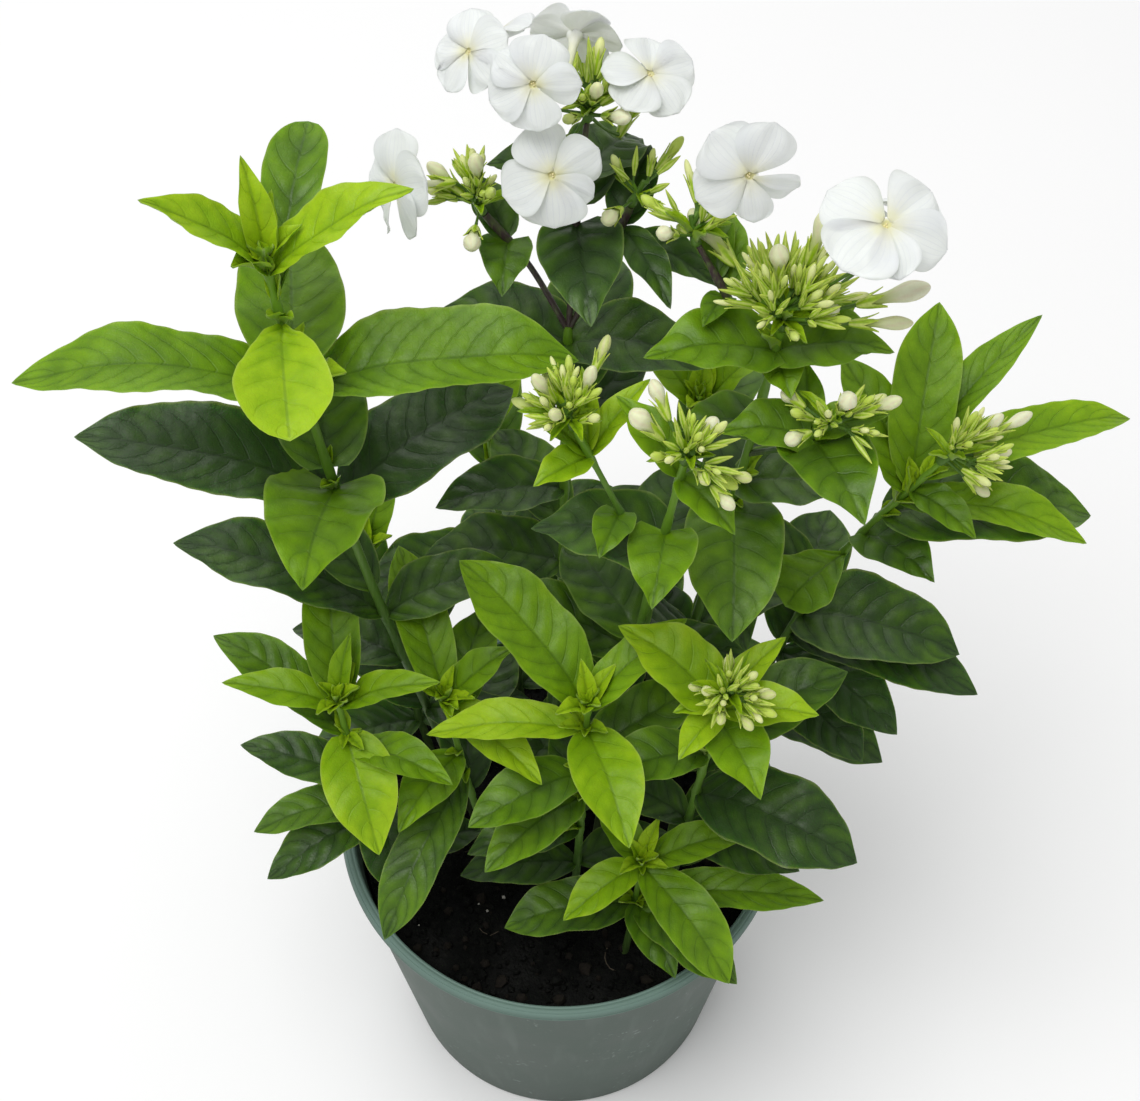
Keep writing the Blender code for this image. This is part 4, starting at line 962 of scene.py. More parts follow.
def petal_mesh(build, pose, radius, number, form, draw):
    """A petal that leans over the next, with its folds, its crease and the notch at its end."""
    centre, facing, across, upward = pose
    swing, breadth, size, roll = form
    out = around(across, upward, math.tau * number / PETALS + math.radians(swing + draw.uniform(-4, 4)))
    side = Matrix.Rotation(math.radians(PETAL_LEAN + roll + draw.uniform(-2, 4)), 3, out) @ out.cross(facing)
    centre, facing, out, side, normal = map(np.array, (centre, facing, out, side, side.cross(out)))
    reach = np.concatenate([np.linspace(0.075, 0.80, PETAL_ROWS - 6), np.linspace(0.84, 0.998, 6)])[:, None]
    v = np.linspace(-1, 1, PETAL_COLUMNS + 1)[None, :]
    av = np.abs(v)
    phase = draw.uniform(0, math.tau)
    half = petal_width(reach, radius) * draw.uniform(0.88, 0.98) * breadth
    drop = PETAL_DROP * radius * reach ** 2 * draw.uniform(0.3, 1.15)
    flute = 0.060 * radius * reach ** 2 * np.sin(2.3 * math.pi * v + phase) * (0.25 + 0.75 * av)
    ripple = 0.014 * radius * smooth(reach, 0.55, 1.0) * np.sin(6.5 * v + 2 * phase)
    cup = draw.uniform(-0.10, 0.14) * radius * av ** 2 * np.sin(math.pi * reach)
    vault = 0.06 * radius * (1 - av ** 2) * np.sin(math.pi * reach)
    crease = -0.025 * radius * np.exp(-(v / 0.12) ** 2) * smooth(reach, 0.1, 0.4)
    crease = crease * smooth(1 - reach, 0.0, 0.3)
    pleat = 0.035 * np.cos(math.tau * 3.5 * v) * smooth(reach, 0.12, 0.35) * (1 - av ** 4)
    curl = draw.uniform(-0.04, 0.04) * radius * smooth(reach, 0.75, 1.0)
    height = (flute + ripple + cup + pleat) * smooth(1 - reach, 0.0, 0.18) + vault + crease + curl
    notch = draw.uniform(0.0, 0.035) * radius * np.exp(-(v / 0.18) ** 2) * smooth(reach, 0.8, 1.0)
    ahead = radius * reach * (1 - 0.05 * av ** 2) * size - notch
    flat = flat_grid(centre, out, side, ahead, half * v) - facing * drop[..., None]
    upper = flat + normal * (height + 0.5 * PETAL_BLADE)[..., None]
    thin = PETAL_BLADE * (1 - 0.5 * av ** 4) * np.ones_like(reach)
    lower = upper - normal * thin[..., None]
    tint = draw.random()
    values = both_sides(*(stacked(reach, v, reach * radius, tint, 0, under) for under in (0, 1)))
    build.rings(both_sides(upper, lower), values, PETAL)


def bloom_mesh(build, bloom, name):
    """A bloom: five broad petals, the slender tube with its hollow eye, and the anthers in it."""
    facing, across, upward, _ = bloom_pose(bloom)
    centre = Vector(bloom[0])
    draw = random.Random(name)
    for number, form in enumerate(PETAL_FORMS.get(name, PETAL_FORMS[None])):
        petal_mesh(build, (centre, facing, across, upward), 0.5 * bloom[3], number, form, draw)
    share, radii, inside = np.array(TUBE_PROFILE).T[..., None]
    values = stacked(0, 0, radii, 0.5, 1, inside)
    heights = share * TUBE_LENGTH - TUBE_LENGTH - 0.15
    turned_mesh(build, centre, facing, heights, radii, TUBE, values, TUBE_SIDES)
    share = np.linspace(0.12, 0.88, 5)[:, None]
    for number in range(ANTHERS):
        turn = math.tau * (number / ANTHERS + draw.random() * 0.2)
        spot = centre + around(across, upward, turn) * ANTHER_RING - facing * draw.uniform(1.3, 1.7)
        radii = ANTHER_RADIUS * np.sin(math.pi * share)
        turned_mesh(build, spot, facing, share * ANTHER_LENGTH, radii, ANTHER, spokes=8)


def small_leaves(name, path, leaves):
    """The youngest leaves that crowd a shoot's tip, and pairs in the axils of its upper leaves."""
    draw = random.Random(f"{name} small")
    if name in TIPS:
        turn = draw.uniform(0, 180)
        for pair, (rise, length) in enumerate(TIP_PAIRS):
            for half in (0, 180):
                azimuth = turn + 90 * pair + half + draw.uniform(-12, 12)
                size = length * draw.uniform(0.8, 1.1)
                leaf = (azimuth, rise + draw.uniform(-6, 6), size, 0.36 * size, SMALL_YOUTH)
                yield path[-1] - 1.2 * UP, leaf
    for base, (azimuth, rise, length, _, youth) in leaves:
        if length > AXIL_LEAF and youth > AXIL_YOUTH:
            for swing in (-AXIL_SWING, AXIL_SWING):
                size = draw.uniform(*AXIL_LENGTH)
                heading = azimuth + swing + draw.uniform(-8, 8)
                leaf = (heading, rise + draw.uniform(34, 56), size, 0.40 * size, SMALL_YOUTH)
                yield base + 0.5 * UP, leaf


def stem_piece(name, paths, leaves, materials):
    """A leafy stem with its branches, in the place of its solid."""
    build = Build()
    for number, (base, leaf) in enumerate(leaves):
        leaf_mesh(build, base, leaf, f"{name} {number}", blunt=number in BLUNT_LEAVES.get(name, ()))
    for number, (base, leaf) in enumerate(small_leaves(name, paths[name], leaves)):
        leaf_mesh(build, base, leaf, f"{name} small {number}")
    stalks = [(name, smooth_path(stem_knots(name), STALK_ROWS), *STEMS[name][:2])]
    for branch, (stem, knots) in BRANCHES.items():
        if stem == name:
            stalks.append((branch, smooth_path(knots, STALK_ROWS // 2), *BRANCH_RADII))
    heights = sorted({round(base.z) for base, _ in leaves})
    for label, path, foot, tip in stalks:
        radii = []
        values = []
        for row, point in enumerate(path):
            share = row / (len(path) - 1)
            near = min((abs(point.z - height) for height in heights), default=99)
            swell = NODE_SWELL * math.exp(-(near / NODE_REACH) ** 2)
            radii.append(STALK_SLIM * (foot + (tip - foot) * share) + swell)
            purple = 1.0 if label in PURPLE_BRANCHES else max(0.0, 0.25 - 0.6 * share)
            values.append((share, near / 20, 0, share, purple, 0))
        stalk_mesh(build, path, radii, STEM, values)
    piece = build.object(name.replace("stem_", "leafy_"), materials)
    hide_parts(name)


def fan(axis, number, count, widest, draw):
    """The number-th of count directions that spread evenly round an axis, out to the widest angle."""
    polar = math.radians(widest * math.sqrt((number + 0.5) / count))
    return leaning(axis, polar, math.radians(GOLDEN_ANGLE * number + draw.uniform(-16, 16)))


def crowd(build, name, knot, axis, taken):
    """Clusters of small shut buds on side branches, and small bracts, that fill a head between its buds."""
    count, spread, bracts, long = CROWDS[name]
    draw = random.Random(f"{name} crowd")
    hubs = max(3, round(count / CROWD_CLUSTER))
    for hub in range(hubs):
        way = fan(axis, hub, hubs, CROWD_DOME, draw)
        middle = knot + axis * 3.0 + way * spread * draw.uniform(0.35, 0.75)
        aim = (way + axis * 0.45).normalized()
        root = pedicel_root(knot, axis, middle)
        path = smooth_path((root, root.lerp(middle, 0.5) - aim * 0.3, middle), len(CROWD_STALK))
        stalk_mesh(build, path, CROWD_STALK, STALK, [(0.5, 0, 0, 0.8, 0, 0)] * len(path), 8)
        for number in range(round(count / hubs)):
            lean = fan(aim, number, round(count / hubs), CROWD_FAN, draw)
            length = draw.uniform(*CROWD_LENGTH) * long
            base = middle + lean * draw.uniform(1.2, 3.8)
            bud = (base, lean, length, draw.uniform(*CROWD_RADIUS), False)
            tip = base + lean * length
            if min((tip - other).length for other in taken) > CROWD_ROOM:
                taken.append(tip)
                make = bud_mesh if draw.random() < CROWD_OPEN else shut_mesh
                make(build, middle - lean * 0.3, bud, f"{name} {hub} {number}")
    for number in range(bracts):
        size = draw.uniform(*BRACT_LENGTH)
        heading = GOLDEN_ANGLE * number + draw.uniform(-15, 15)
        leaf = (heading, draw.uniform(*BRACT_RISE), size, 0.24 * size, BRACT_YOUTH)
        leaf_mesh(build, knot + axis * draw.uniform(0.0, 3.0), leaf, f"{name} bract {number}", BRACT)


def head_piece(name, knot, axis, foot, buds, calyxes, materials):
    """A bud head: peduncle, pedicels, calyxes and buds, in the place of its solid."""
    build = Build()
    rows = range(PEDUNCLE_ROWS)
    path = smooth_path((foot, knot, knot + axis * (PEDUNCLE + 0.6)), len(rows))
    radii = [PEDUNCLE_RADIUS + 0.5 * math.sin(math.pi * min(1.0, row / 8)) - 0.03 * row for row in rows]
    stalk_mesh(build, path, radii, STALK, [(row / (len(rows) - 1), 0, 0, 0.5, 0, 0) for row in rows])
    for number, (root, bud) in enumerate(buds):
        bud_mesh(build, root, bud, f"{name} {number}")
    taken = [base + way * length for _, (base, way, length, _, _) in buds]
    taken += [base + facing * CALYX_LENGTH for _, base, facing in calyxes]
    crowd(build, name, knot, axis, taken)
    for number, (root, base, facing) in enumerate(calyxes):
        pedicel_mesh(build, root, base, facing, 0.55)
        calyx_mesh(build, base, facing, CALYX_LENGTH, 1.35, 1.1, f"{name} open {number}")
    piece = build.object(name.replace("head_", "buds_"), materials)
    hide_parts(name)


def bloom_piece(name, bloom, materials):
    """An open bloom, in the place of its solid."""
    build = Build()
    bloom_mesh(build, bloom, name)
    piece = build.object(name.replace("bloom_", "flower_"), materials)
    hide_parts(name)


class Shader:
    """A procedural material round a Principled shader, with short names for the nodes it uses."""

    def __init__(self, name):
        self.material = bpy.data.materials.new(name)
        self.material.use_nodes = True
        self.tree = self.material.node_tree
        self.surface = self.tree.nodes["Principled BSDF"]

    def node(self, kind, **settings):
        node = self.tree.nodes.new("ShaderNode" + kind)
        for key, value in settings.items():
            setattr(node, key, value)
        return node

    def join(self, value, socket):
        """Sets a socket, from another socket, a number or a colour."""
        if isinstance(value, bpy.types.NodeSocket):
            self.tree.links.new(value, socket)
        elif isinstance(value, tuple) and len(value) == 3 and socket.type == "RGBA":
            socket.default_value = (*value, 1.0)
        else:
            socket.default_value = value

    def finish(self, colour, roughness, shine, relief=None, through=(), **more):
        """Sets the surface and returns the material.

        The relief is (height, depth in millimetres), and what shines through is (share, reach of red, green
        and blue, in parts of a depth, that depth in millimetres).
        """
        values = {"Base_Color": colour, "Roughness": roughness, "Specular_IOR_Level": shine, **more}
        if relief:
            values["Normal"] = self.bump(*relief)
        if through:
            share, reach, depth = through
            values |= {"Subsurface_Weight": share, "Subsurface_Radius": reach, "Subsurface_Scale": depth * MM}
        for key, value in values.items():
            self.join(value, self.surface.inputs[key.replace("_", " ")])
        return self.material

    def math(self, operation, *values):
        node = self.node("Math", operation=operation)
        for value, socket in zip(values, node.inputs):
            self.join(value, socket)
        return node.outputs[0]

    def times(self, first, second):
        return self.math("MULTIPLY", first, second)

    def plus(self, first, second):
        return self.math("ADD", first, second)

    def line(self, value, slope, start):
        """A value times a slope, plus a start."""
        return self.math("MULTIPLY_ADD", value, slope, start)

    def fade(self, value, start, end, low=0.0, high=1.0):
        """A smooth step of a value from low at start to high at end."""
        node = self.node("MapRange", interpolation_type="SMOOTHSTEP")
        for number, given in enumerate((value, start, end, low, high)):
            self.join(given, node.inputs[number])
        return node.outputs[0]

    def mix(self, share, first, second, blend="MIX"):
        """A mix of two colours. The node's sockets 6 and 7 and its output 2 are those for colours."""
        node = self.node("Mix", data_type="RGBA", blend_type=blend)
        self.join(share, node.inputs[0])
        self.join(first, node.inputs[6])
        self.join(second, node.inputs[7])
        return node.outputs[2]

    def stain(self, colour, value, start, end, share, stain):
        """A colour stained up to a share, as a value goes from start to end."""
        return self.mix(self.fade(value, start, end, 0.0, share), colour, stain)

    def ramp(self, value, *stops):
        """A colour that goes through stops, each (value, red, green, blue)."""
        node = self.node("ValToRGB")
        while len(node.color_ramp.elements) < len(stops):
            node.color_ramp.elements.new(1.0)
        for element, (spot, *colour) in zip(node.color_ramp.elements, stops):
            element.position = spot
            element.color = (*colour, 1.0)
        self.join(value, node.inputs[0])
        return node.outputs[0]

    def spot(self, stretch=None):
        """The place on the object in metres, stretched along its axes."""
        place = self.node("TexCoord").outputs["Object"]
        if not stretch:
            return place
        node = self.node("Mapping")
        self.join(place, node.inputs["Vector"])
        node.inputs["Scale"].default_value = stretch
        return node.outputs[0]

    def noise(self, size, detail=2.0, stretch=None):
        """Noise from 0 to 1 with blots of a size in millimetres."""
        node = self.node("TexNoise")
        self.join(self.spot(stretch), node.inputs["Vector"])
        node.inputs["Scale"].default_value = 1.0 / (size * MM)
        node.inputs["Detail"].default_value = detail
        return node.outputs["Fac"]

    def cells(self, size, feature="F1"):
        """Distance within cells of a size in millimetres."""
        node = self.node("TexVoronoi", feature=feature)
        self.join(self.spot(), node.inputs["Vector"])
        node.inputs["Scale"].default_value = 1.0 / (size * MM)
        return node.outputs["Distance"]

    def grey(self, value):
        """A grey of a value."""
        node = self.node("CombineColor")
        for socket in node.inputs:
            self.join(value, socket)
        return node.outputs[0]

    def parts(self, vector):
        """The three parts of a vector."""
        node = self.node("SeparateXYZ")
        self.join(vector, node.inputs[0])
        return node.outputs

    def triple(self, label):
        """The three values that the mesh holds under a label."""
        return self.parts(self.node("Attribute", attribute_name=label).outputs["Vector"])

    def bump(self, height, depth):
        """A surface normal roughened by a height from 0 to 1, with a depth in millimetres."""
        node = self.node("Bump")
        node.inputs["Distance"].default_value = depth * MM
        self.join(height, node.inputs["Height"])
        return node.outputs[0]


def leaf_material():
    """Leaf: dark green when old, bright yellow-green when young, with painted light on the swells between its
    veins and painted shade in its vein and midrib grooves.
    """
    s = Shader("leaf")
    phase, out, midrib = s.triple("place")
    youth, tint, under = s.triple("tone")
    fine = s.noise(2.6)
    across = s.math("ABSOLUTE", s.math("SUBTRACT", s.math("FRACT", phase), 0.5))
    # Painted light: the swells between the veins are made lighter and yellower, as if they caught the light.
    swell = s.times(s.fade(across, 0.03, 0.40), s.fade(out, 0.05, 0.30))
    change = s.plus(s.fade(s.noise(9.0), 0.3, 0.7, -0.12, 0.12), s.line(swell, 0.11, -0.05))
    age_and_painted_light = s.line(change, s.line(youth, -0.65, 1.0), youth)
    age_and_painted_light = s.plus(age_and_painted_light, s.times(s.fade(out, 0.45, 1.0, 0.0, 0.14), youth))
    age_and_painted_light = s.plus(age_and_painted_light, s.line(tint, 0.12, -0.06))
    face = s.ramp(age_and_painted_light, (0.0, 0.026, 0.064, 0.009), (0.15, 0.040, 0.094, 0.008), (0.40, 0.088, 0.185, 0.006),
                  (0.65, 0.160, 0.305, 0.005), (0.85, 0.225, 0.390, 0.005), (1.0, 0.330, 0.505, 0.010))
    back = s.ramp(age_and_painted_light, (0.0, 0.085, 0.160, 0.065), (0.4, 0.125, 0.240, 0.050), (1.0, 0.320, 0.490, 0.055))
    vein = s.times(s.fade(across, 0.01, 0.07, 1.0, 0.0), s.fade(out, 0.60, 0.95, 1.0, 0.0))
    net = s.fade(s.cells(1.5, "DISTANCE_TO_EDGE"), 0.0, 0.15, 1.0, 0.0)
    rib = s.fade(midrib, 0.10, 0.65, 1.0, 0.0)
    dark = s.mix(1.0, face, (0.52, 0.58, 0.55), "MULTIPLY")
    pale = s.mix(0.35, face, (0.42, 0.56, 0.14))
    # Painted shade: the vein lines and the midrib are darkened, as if shade fell in their grooves, most on
    # old leaves.
    colour = s.mix(s.times(vein, s.fade(youth, 0.2, 0.9, 0.42, 0.11)), face, dark)
    colour = s.mix(s.times(net, 0.06), colour, dark)
    colour = s.mix(s.times(rib, 0.62), colour, dark)
    colour = s.mix(s.times(s.fade(out, 0.93, 1.0), 0.6), colour, pale)
    colour = s.stain(colour, fine, 0.35, 0.7, 0.18, dark)
    below = s.mix(s.math("MAXIMUM", rib, s.times(vein, 0.7)), back, (0.30, 0.42, 0.14))
    relief = s.math("SUBTRACT", s.plus(s.times(net, -0.2), s.times(fine, 0.6)), s.times(vein, 0.8))
    rough = s.line(under, 0.2, s.fade(fine, 0.3, 0.7, 0.38, 0.47))
    return s.finish(s.mix(under, colour, below), rough, s.fade(youth, 0.1, 0.7, 0.36, 0.22), (relief, 0.12),
                    (0.10, (0.5, 1.0, 0.15), 1.2))


def stalk_material():
    """Stalk: green above, browner below, purplish-brown on the branches of the old heads."""
    s = Shader("stalk")
    youth, purple, _ = s.triple("tone")
    streak = s.noise(0.9, stretch=(1.0, 1.0, 0.08))
    blot = s.noise(4.0)
    green = s.ramp(youth, (0.0, 0.036, 0.058, 0.020), (0.35, 0.048, 0.115, 0.014), (1.0, 0.150, 0.310, 0.016))
    colour = s.mix(s.times(purple, s.fade(blot, 0.30, 0.55, 0.75, 1.0)), green, (0.050, 0.028, 0.032))
    colour = s.stain(colour, streak, 0.45, 0.75, 0.30, (0.17, 0.25, 0.07))
    return s.finish(colour, s.fade(blot, 0.3, 0.7, 0.42, 0.6), 0.4, (streak, 0.12))


def sepal_material():
    """Sepal: lime green ribs between paler, papery strips, and bright tips."""
    s = Shader("sepal")
    up, point, _ = s.triple("place")
    _, tint, _ = s.triple("tone")
    colour = s.mix(s.fade(point, 0.25, 0.85), (0.62, 0.72, 0.18), (0.320, 0.500, 0.006))
    colour = s.stain(colour, up, 0.50, 1.0, 0.70, (0.600, 0.680, 0.110))
    colour = s.stain(colour, s.noise(1.1), 0.35, 0.7, 0.22, (0.10, 0.22, 0.02))
    colour = s.mix(1.0, colour, s.grey(s.line(tint, 0.3, 0.85)), "MULTIPLY")
    return s.finish(colour, 0.5, 0.4, (s.noise(0.5), 0.05), (0.12, (0.6, 1.0, 0.2), 1.0))


def bud_material():
    """Bud: cream, greener at its neck, with a faint flush in its spiral folds when it is big."""
    s = Shader("bud")
    up, furrow, width = s.triple("place")
    tint, big, _ = s.triple("tone")
    small = s.mix(s.fade(tint, 0.35, 0.65), (0.52, 0.66, 0.09), (0.76, 0.80, 0.36))
    full = s.mix(tint, (0.72, 0.76, 0.44), (0.80, 0.82, 0.60))
    body = s.mix(big, small, s.mix(s.fade(width, 1.5, 2.1), (0.55, 0.64, 0.19), full))
    colour = s.mix(s.times(s.fade(furrow, 0.15, 0.8, 0.45, 0.04), big), body, (0.74, 0.62, 0.46))
    colour = s.mix(s.fade(up, 0.30, 0.62, 1.0, 0.0), colour, (0.46, 0.55, 0.15))
    tip = s.times(s.fade(up, 0.90, 1.0), s.math("SUBTRACT", 1.0, big))
    colour = s.mix(s.times(tip, 0.5), colour, (0.48, 0.56, 0.22))
    colour = s.stain(colour, s.noise(1.0), 0.4, 0.75, 0.16, (0.62, 0.60, 0.34))
    return s.finish(colour, 0.5, 0.35, (s.noise(0.6), 0.05), (0.25, (1.0, 0.9, 0.6), 1.2))


def petal_material():
    """Petal: white, with a small pale yellow star round the eye, faint veins that fan out from it, and
    painted light on its underside.
    """
    s = Shader("petal")
    reach, across, _ = s.triple("place")
    tint, _, under = s.triple("tone")
    star = s.plus(reach, s.times(s.math("ABSOLUTE", across), 0.10))
    colour = s.ramp(star, (0.08, 0.70, 0.67, 0.34), (0.20, 0.74, 0.73, 0.46), (0.33, 0.775, 0.795, 0.68),
                    (0.46, 0.785, 0.820, 0.785), (0.60, 0.785, 0.825, 0.815))
    fine = s.math("COSINE", s.times(across, 71.0))
    fan_out = s.plus(s.math("COSINE", s.times(across, 34.0)), s.times(fine, 0.5))
    veins = s.times(s.fade(fan_out, 0.7, 1.5), s.fade(reach, 0.15, 0.35))
    colour = s.mix(s.times(veins, 0.30), colour, (0.64, 0.67, 0.74))
    colour = s.stain(colour, s.noise(6.0), 0.4, 0.75, 0.30, (0.69, 0.72, 0.78))
    # Painted light: the undersides are painted lighter than the faces, as if light shone through them from
    # above.
    colour = s.mix(s.times(under, 0.8), colour, (0.90, 0.92, 0.91))
    colour = s.mix(s.times(tint, 0.15), colour, (0.73, 0.745, 0.74))
    relief = s.plus(s.times(s.noise(0.8), 0.5), s.times(veins, -0.5))
    return s.finish(colour, 0.55, 0.3, (relief, 0.05), (0.65, (1.0, 1.0, 1.0), 2.0), Sheen_Weight=0.08)


def tube_material():
    """Corolla tube: white at the flare, cream down its length, yellow-green in its mouth."""
    s = Shader("corolla_tube")
    _, _, width = s.triple("place")
    _, _, inside = s.triple("tone")
    colour = s.ramp(s.math("DIVIDE", width, 2.4), (0.33, 0.66, 0.68, 0.42), (0.60, 0.84, 0.84, 0.76),
                    (0.95, 0.87, 0.88, 0.86))
    colour = s.mix(s.fade(inside, 0.1, 0.7), colour, (0.68, 0.66, 0.34))
    colour = s.stain(colour, s.noise(1.5), 0.4, 0.75, 0.2, (0.70, 0.70, 0.50))
    return s.finish(colour, 0.55, 0.3, (s.noise(0.7), 0.05), (0.2, (1.0, 1.0, 0.8), 1.2))


def anther_material():
    """Anther: yellow and powdery."""
    s = Shader("anther")
    colour = s.mix(s.noise(0.3), (0.84, 0.74, 0.38), (0.88, 0.82, 0.54))
    return s.finish(colour, 0.8, 0.5, (s.noise(0.2, 1.0), 0.05))


def pot_material():
    """Pot: matt grey-green moulded plastic with painted shade towards its foot, painted light and a painted
    highlight on its lip, faint blots, a drip mark and fine scuffs.
    """
    s = Shader("pot_plastic")
    height = s.math("DIVIDE", s.parts(s.spot())[2], POT_HEIGHT * MM)
    blot = s.noise(28.0, 3.0)
    streak = s.noise(7.0, stretch=(1.0, 1.0, 0.10))
    scuff = s.times(s.fade(s.noise(2.2, 4.0), 0.60, 0.72), s.fade(s.noise(16.0, 1.0), 0.5, 0.65))
    colour = s.mix(s.fade(blot, 0.3, 0.7), (0.044, 0.072, 0.054), (0.058, 0.090, 0.070))
    # Painted shade: the pot is darker towards its foot.
    colour = s.mix(s.fade(height, 0.0, 0.45, 0.22, 0.0), colour, (0.038, 0.058, 0.046))
    colour = s.stain(colour, streak, 0.52, 0.74, 0.30, (0.115, 0.155, 0.130))
    colour = s.mix(s.times(scuff, 0.35), colour, (0.26, 0.33, 0.30))
    # Painted light: the lip is painted paler, with a painted highlight along its very top.
    colour = s.mix(s.times(s.fade(height, 0.962, 0.972), 0.75), colour, (0.125, 0.205, 0.170))
    colour = s.stain(colour, height, 0.982, 0.998, 0.45, (0.22, 0.33, 0.29))
    rough = s.math("SUBTRACT", s.fade(blot, 0.3, 0.7, 0.52, 0.60), s.times(scuff, 0.10))
    relief = s.plus(s.times(s.noise(0.55), 0.6), s.times(streak, 0.4))
    return s.finish(colour, rough, 0.36, (relief, 0.10))


def peat_material():
    """Peat: almost black, damp in places, with browner crumbs."""
    s = Shader("peat")
    damp = s.noise(18.0)
    colour = s.ramp(s.noise(2.4, 5.0), (0.30, 0.0010, 0.0012, 0.0010), (0.54, 0.0022, 0.0026, 0.0021),
                    (0.70, 0.006, 0.006, 0.005), (0.82, 0.018, 0.017, 0.012))
    colour = s.stain(colour, damp, 0.4, 0.7, 0.6, (0.005, 0.005, 0.004))
    relief = s.plus(s.noise(0.9, 4.0), s.times(s.cells(1.6), -0.5))
    return s.finish(colour, s.fade(damp, 0.35, 0.7, 0.92, 0.55), 0.12, (relief, 0.7))


def crumb_material(name, dark, light, rough):
    """A crumb or fibre in the peat."""
    s = Shader(name)
    return s.finish(s.mix(s.noise(1.2, 3.0), dark, light), rough, 0.15, (s.noise(0.5), 0.15))


def floor_material():
    """The studio's floor: white with a hardly visible cloud."""
    s = Shader("pale_floor")
    return s.finish(s.mix(s.noise(220.0, 1.0), (0.96, 0.96, 0.96), (0.98, 0.98, 0.98)), 0.9, 0.1)


def rounded(profile, reach):
    """A section with its corners rounded off over a reach."""
    points = [np.array(point) for point in profile]
    curve = [points[0]]
    for before, corner, after in zip(points, points[1:], points[2:]):
        ends = []
        for aim in (before - corner, after - corner):
            size = np.linalg.norm(aim)
            ends.append(corner + aim / size * min(reach, 0.4 * size))
        start, end = ends
        curve += [start, 0.25 * start + 0.5 * corner + 0.25 * end, end]
    return np.array(curve + [points[-1]])


def lined(section):
    """The pot's section with shallow moulding lines round the top and the face of its lip."""
    points = [section[0]]
    for start, end in zip(section, section[1:]):
        on_lip = min(start[1], end[1]) > LIP_FOOT
        steps = max(1, int(np.linalg.norm(end - start) / LINE_STEP)) if on_lip else 1
        points += [start + (end - start) * (step + 1) / steps for step in range(steps)]
    radii, heights = np.array(points).T.copy()
    for radius, width, depth in LIP_LINES:
        heights -= depth * np.exp(-((radii - radius) / width) ** 2) * (heights > POT_HEIGHT - 1.6)
    face = (radii > RIM_RADIUS - 0.6) & (heights > LIP_FOOT)
    radii -= np.where(face, 0.22 * np.exp(-((heights - LIP_FOOT - 2.0) / 0.25) ** 2), 0)
    return radii[:, None], heights[:, None]


def pot_piece(material):
    """The pot, finely turned, with its drain holes."""
    build = Build()
    radii, heights = lined(rounded(pot_profile(), 1.0))
    turned_mesh(build, Vector(), UP, heights, radii, 0, spokes=POT_SEGMENTS)
    pot = build.object("potted_rim", [material], 40.0)
    cutter = Build()
    levels = np.array([[-DRILL_PAST], [POT_FLOOR + DRILL_PAST]])
    for number in range(DRAIN_HOLES):
        spot = ray(360 * number / DRAIN_HOLES, 0) * DRAIN_RING
        turned_mesh(cutter, spot, UP, levels, DRAIN_RADIUS + 0 * levels, 0, spokes=DRAIN_SEGMENTS)
    drills = cutter.object("drills", [material])
    cut = pot.modifiers.new("drain", "BOOLEAN")
    cut.object = drills
    cut.solver = "EXACT"
    cut.operation = "DIFFERENCE"
    shaped = pot.evaluated_get(bpy.context.evaluated_depsgraph_get())
    pot.data = bpy.data.meshes.new_from_object(shaped)
    pot.modifiers.clear()
    bpy.data.objects.remove(drills)
    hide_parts("pot")


def lump(build, spot, size, slot, draw):
    """A crumb of peat: a small uneven ball."""
    axis = Vector([draw.uniform(-1, 1) for _ in range(3)]).normalized()
    rows, spokes = CRUMB_GRID
    share = np.linspace(0.12, 0.88, rows)[:, None]
    shape = np.array([[draw.uniform(0.7, 1.25) for _ in range(spokes)] for _ in range(rows)])
    radii = 0.5 * size * np.sin(math.pi * share) * shape
    heights = size * (share - 0.5) * draw.uniform(0.8, 1.3)
    turned_mesh(build, spot, axis, heights, radii, slot)


def soil_height(x, y):
    """The lumpy top of the peat."""
    base = SOIL_LUMP * noise.noise(Vector((x, y, SOIL_TOP)) * 0.08)
    crumbs = 1.1 * noise.noise(Vector((x, y, 0)) * 0.22) + 0.7 * noise.noise(Vector((x, y, 9)) * 0.55)
    return SOIL_TOP - 0.3 + base + crumbs


def scattered(reach, draw):
    """A random place within a reach of the pot's axis."""
    radius = reach * math.sqrt(draw.random())
    angle = draw.uniform(0, math.tau)
    return radius * math.cos(angle), radius * math.sin(angle)


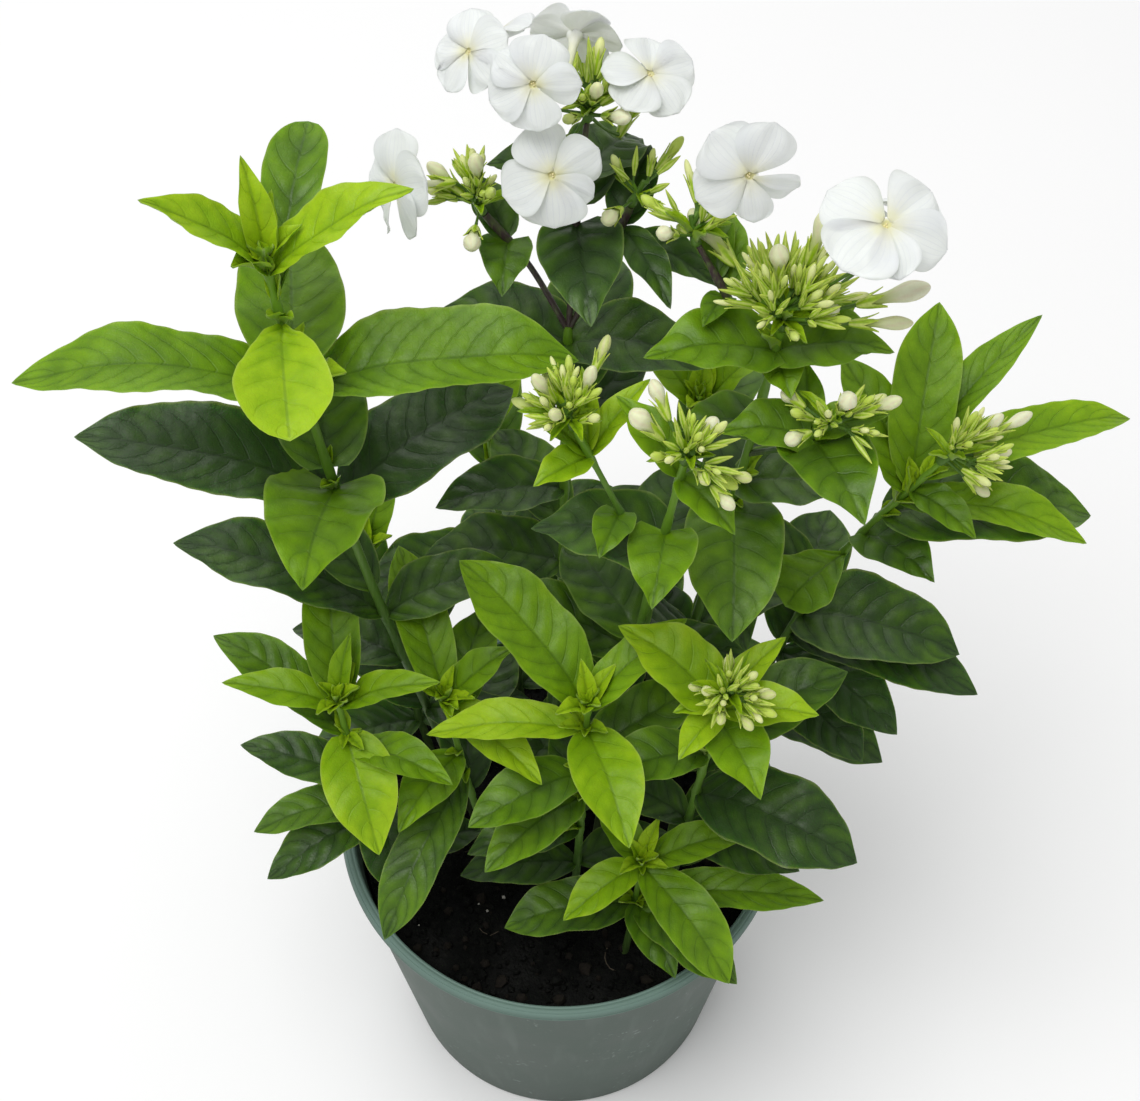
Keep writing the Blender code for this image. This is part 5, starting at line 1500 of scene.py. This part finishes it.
def soil_piece(materials):
    """The peat, with crumbs, chips and fibres lying in its top."""
    build = Build()
    draw = random.Random(SOIL_SEED)
    edge = wall_inside(SOIL_TOP - 3.0) - FIT_GAP
    foot = wall_inside(POT_FLOOR + 1.5) - FIT_GAP - 0.5
    turn = np.arange(SOIL_SEGMENTS) * math.tau / SOIL_SEGMENTS
    rows = [(foot, POT_FLOOR + FIT_GAP), (edge, SOIL_TOP - 3.0)]
    rows += [((edge - 0.2) * (1 - (row + 0.2) / SOIL_ROWS) ** 0.9, None) for row in range(SOIL_ROWS)]
    grid = []
    for radius, height in rows:
        ring = [(radius * math.cos(a), radius * math.sin(a)) for a in turn]
        grid.append([(x, y, height or soil_height(x, y)) for x, y in ring])
    build.rings(np.array(grid), 0.0, PEAT)
    for number in range(CRUMBS):
        x, y = scattered(edge - 2.0, draw)
        size = draw.uniform(*(CRUMB_SIZE if number % LARGE_EVERY else LARGE_CRUMB_SIZE))
        kind = PEAT if number % CHIP_EVERY else CHIP
        if number % SPECK_EVERY == 0:
            kind = SPECK
            size = draw.uniform(*SPECK_SIZE)
        lump(build, Vector((x, y, soil_height(x, y) + 0.1 * size)), size, kind, draw)
    for _ in range(FIBRES):
        middle = scattered(edge - 8.0, draw)
        heading = draw.uniform(0, math.tau)
        length = draw.uniform(*FIBRE_LENGTH)
        path = []
        for row in range(FIBRE_ROWS):
            share = row / (FIBRE_ROWS - 1) - 0.5
            bend = heading + 0.9 * share
            x = middle[0] + length * share * math.cos(bend)
            y = middle[1] + length * share * math.sin(bend)
            path.append(Vector((x, y, soil_height(x, y) + draw.uniform(0.1, 0.9))))
        radius = draw.uniform(*FIBRE_RADIUS)
        stalk_mesh(build, path, [radius] * FIBRE_ROWS, FIBRE, [(0,) * 6] * FIBRE_ROWS, FIBRE_SIDES)
    soil = build.object("peat", materials, 50.0)
    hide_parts("soil")


def studio():
    """Pale floor, soft light and the photograph's camera."""
    reach = FLOOR_REACH
    mesh = bpy.data.meshes.new("floor")
    mesh.from_pydata([(-reach, -reach, 0), (reach, -reach, 0), (reach, reach, 0), (-reach, reach, 0)], [],
                     [(0, 1, 2, 3)])
    mesh.materials.append(floor_material())
    floor = placed("floor", mesh)
    floor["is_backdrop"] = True

    world = bpy.data.worlds.new("studio")
    world.use_nodes = True
    background = world.node_tree.nodes["Background"]
    background.inputs["Color"].default_value = (1.0, 1.0, 1.0, 1.0)
    background.inputs["Strength"].default_value = WORLD_LIGHT
    bpy.context.scene.world = world
    for name, spot, size, power in LAMPS:
        lamp = bpy.data.lights.new(name, "AREA")
        lamp.shape = "DISK"
        lamp.size = size
        lamp.energy = power
        thing = placed(name, lamp)
        thing.location = spot
        thing.rotation_euler = (Vector(LAMP_AIM) - Vector(spot)).to_track_quat("-Z", "Y").to_euler()

    lens = bpy.data.cameras.new("camera")
    lens.sensor_width = 36.0
    lens.lens = lens.sensor_width * FOCAL_PIXELS / FRAME_WIDTH
    lens.clip_start = 0.01
    camera = placed("camera", lens)
    camera.location = CAMERA_SPOT
    camera.rotation_euler = (math.radians(90.0 - CAMERA_TILT), 0.0, 0.0)
    bpy.context.scene.camera = camera
    bpy.context.scene.view_settings.view_transform = "Standard"


def main():
    """Fits the plant to the frame, builds every piece and sets the studio."""
    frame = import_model()
    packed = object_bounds()
    trees = corners_of(frame)
    paths = {name: smooth_path(stem_knots(name), STEM_RINGS) for name in STEMS}
    paths |= {name: smooth_path(knots, BRANCH_RINGS) for name, (_, knots) in BRANCHES.items()}
    heads = {name: head_knot(name, paths) for name in HEADS}
    knots = {name: (knot, axis) for name, (_, knot, axis) in heads.items()}
    leaves = fit_leaves(trees, paths)
    blooms = fit_blooms(trees)
    buds = fit_buds(trees, knots)
    calyxes = {name: [] for name in HEADS}
    for name, bloom in blooms.items():
        head = BLOOMS[name][0]
        facing, _, _, tube_foot = bloom_pose(bloom)
        base = tube_foot - facing * TUBE_LIFT
        calyxes[head].append((pedicel_root(*knots[head], base), base, facing))
    fitted = [sum(map(len, found.values())) for found in (leaves, buds)]
    print("leaves", fitted[0], "blooms", len(blooms), "buds", fitted[1])

    stalk = stalk_material()
    leafy = [leaf_material(), stalk]
    budding = [stalk, sepal_material(), bud_material(), leafy[0]]
    flowering = [petal_material(), tube_material(), anther_material()]
    peat = [
        peat_material(),
        crumb_material("bark_crumb", (0.004, 0.0036, 0.003), (0.017, 0.013, 0.009), 0.85),
        crumb_material("pale_speck", (0.22, 0.21, 0.18), (0.50, 0.48, 0.44), 0.8),
        crumb_material("fibre", (0.040, 0.032, 0.022), (0.110, 0.090, 0.065), 0.8),
    ]
    for name in STEMS:
        stem_piece(name, paths, leaves[name], leafy)
    for name, (foot, knot, axis) in heads.items():
        head_piece(name, knot, axis, foot, buds[name], calyxes[name], budding)
    for name, bloom in blooms.items():
        bloom_piece(name, bloom, flowering)
    pot_piece(pot_material())
    soil_piece(peat)
    studio()
    [[list(corner) for corner in box] for box in (packed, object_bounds())]


main()
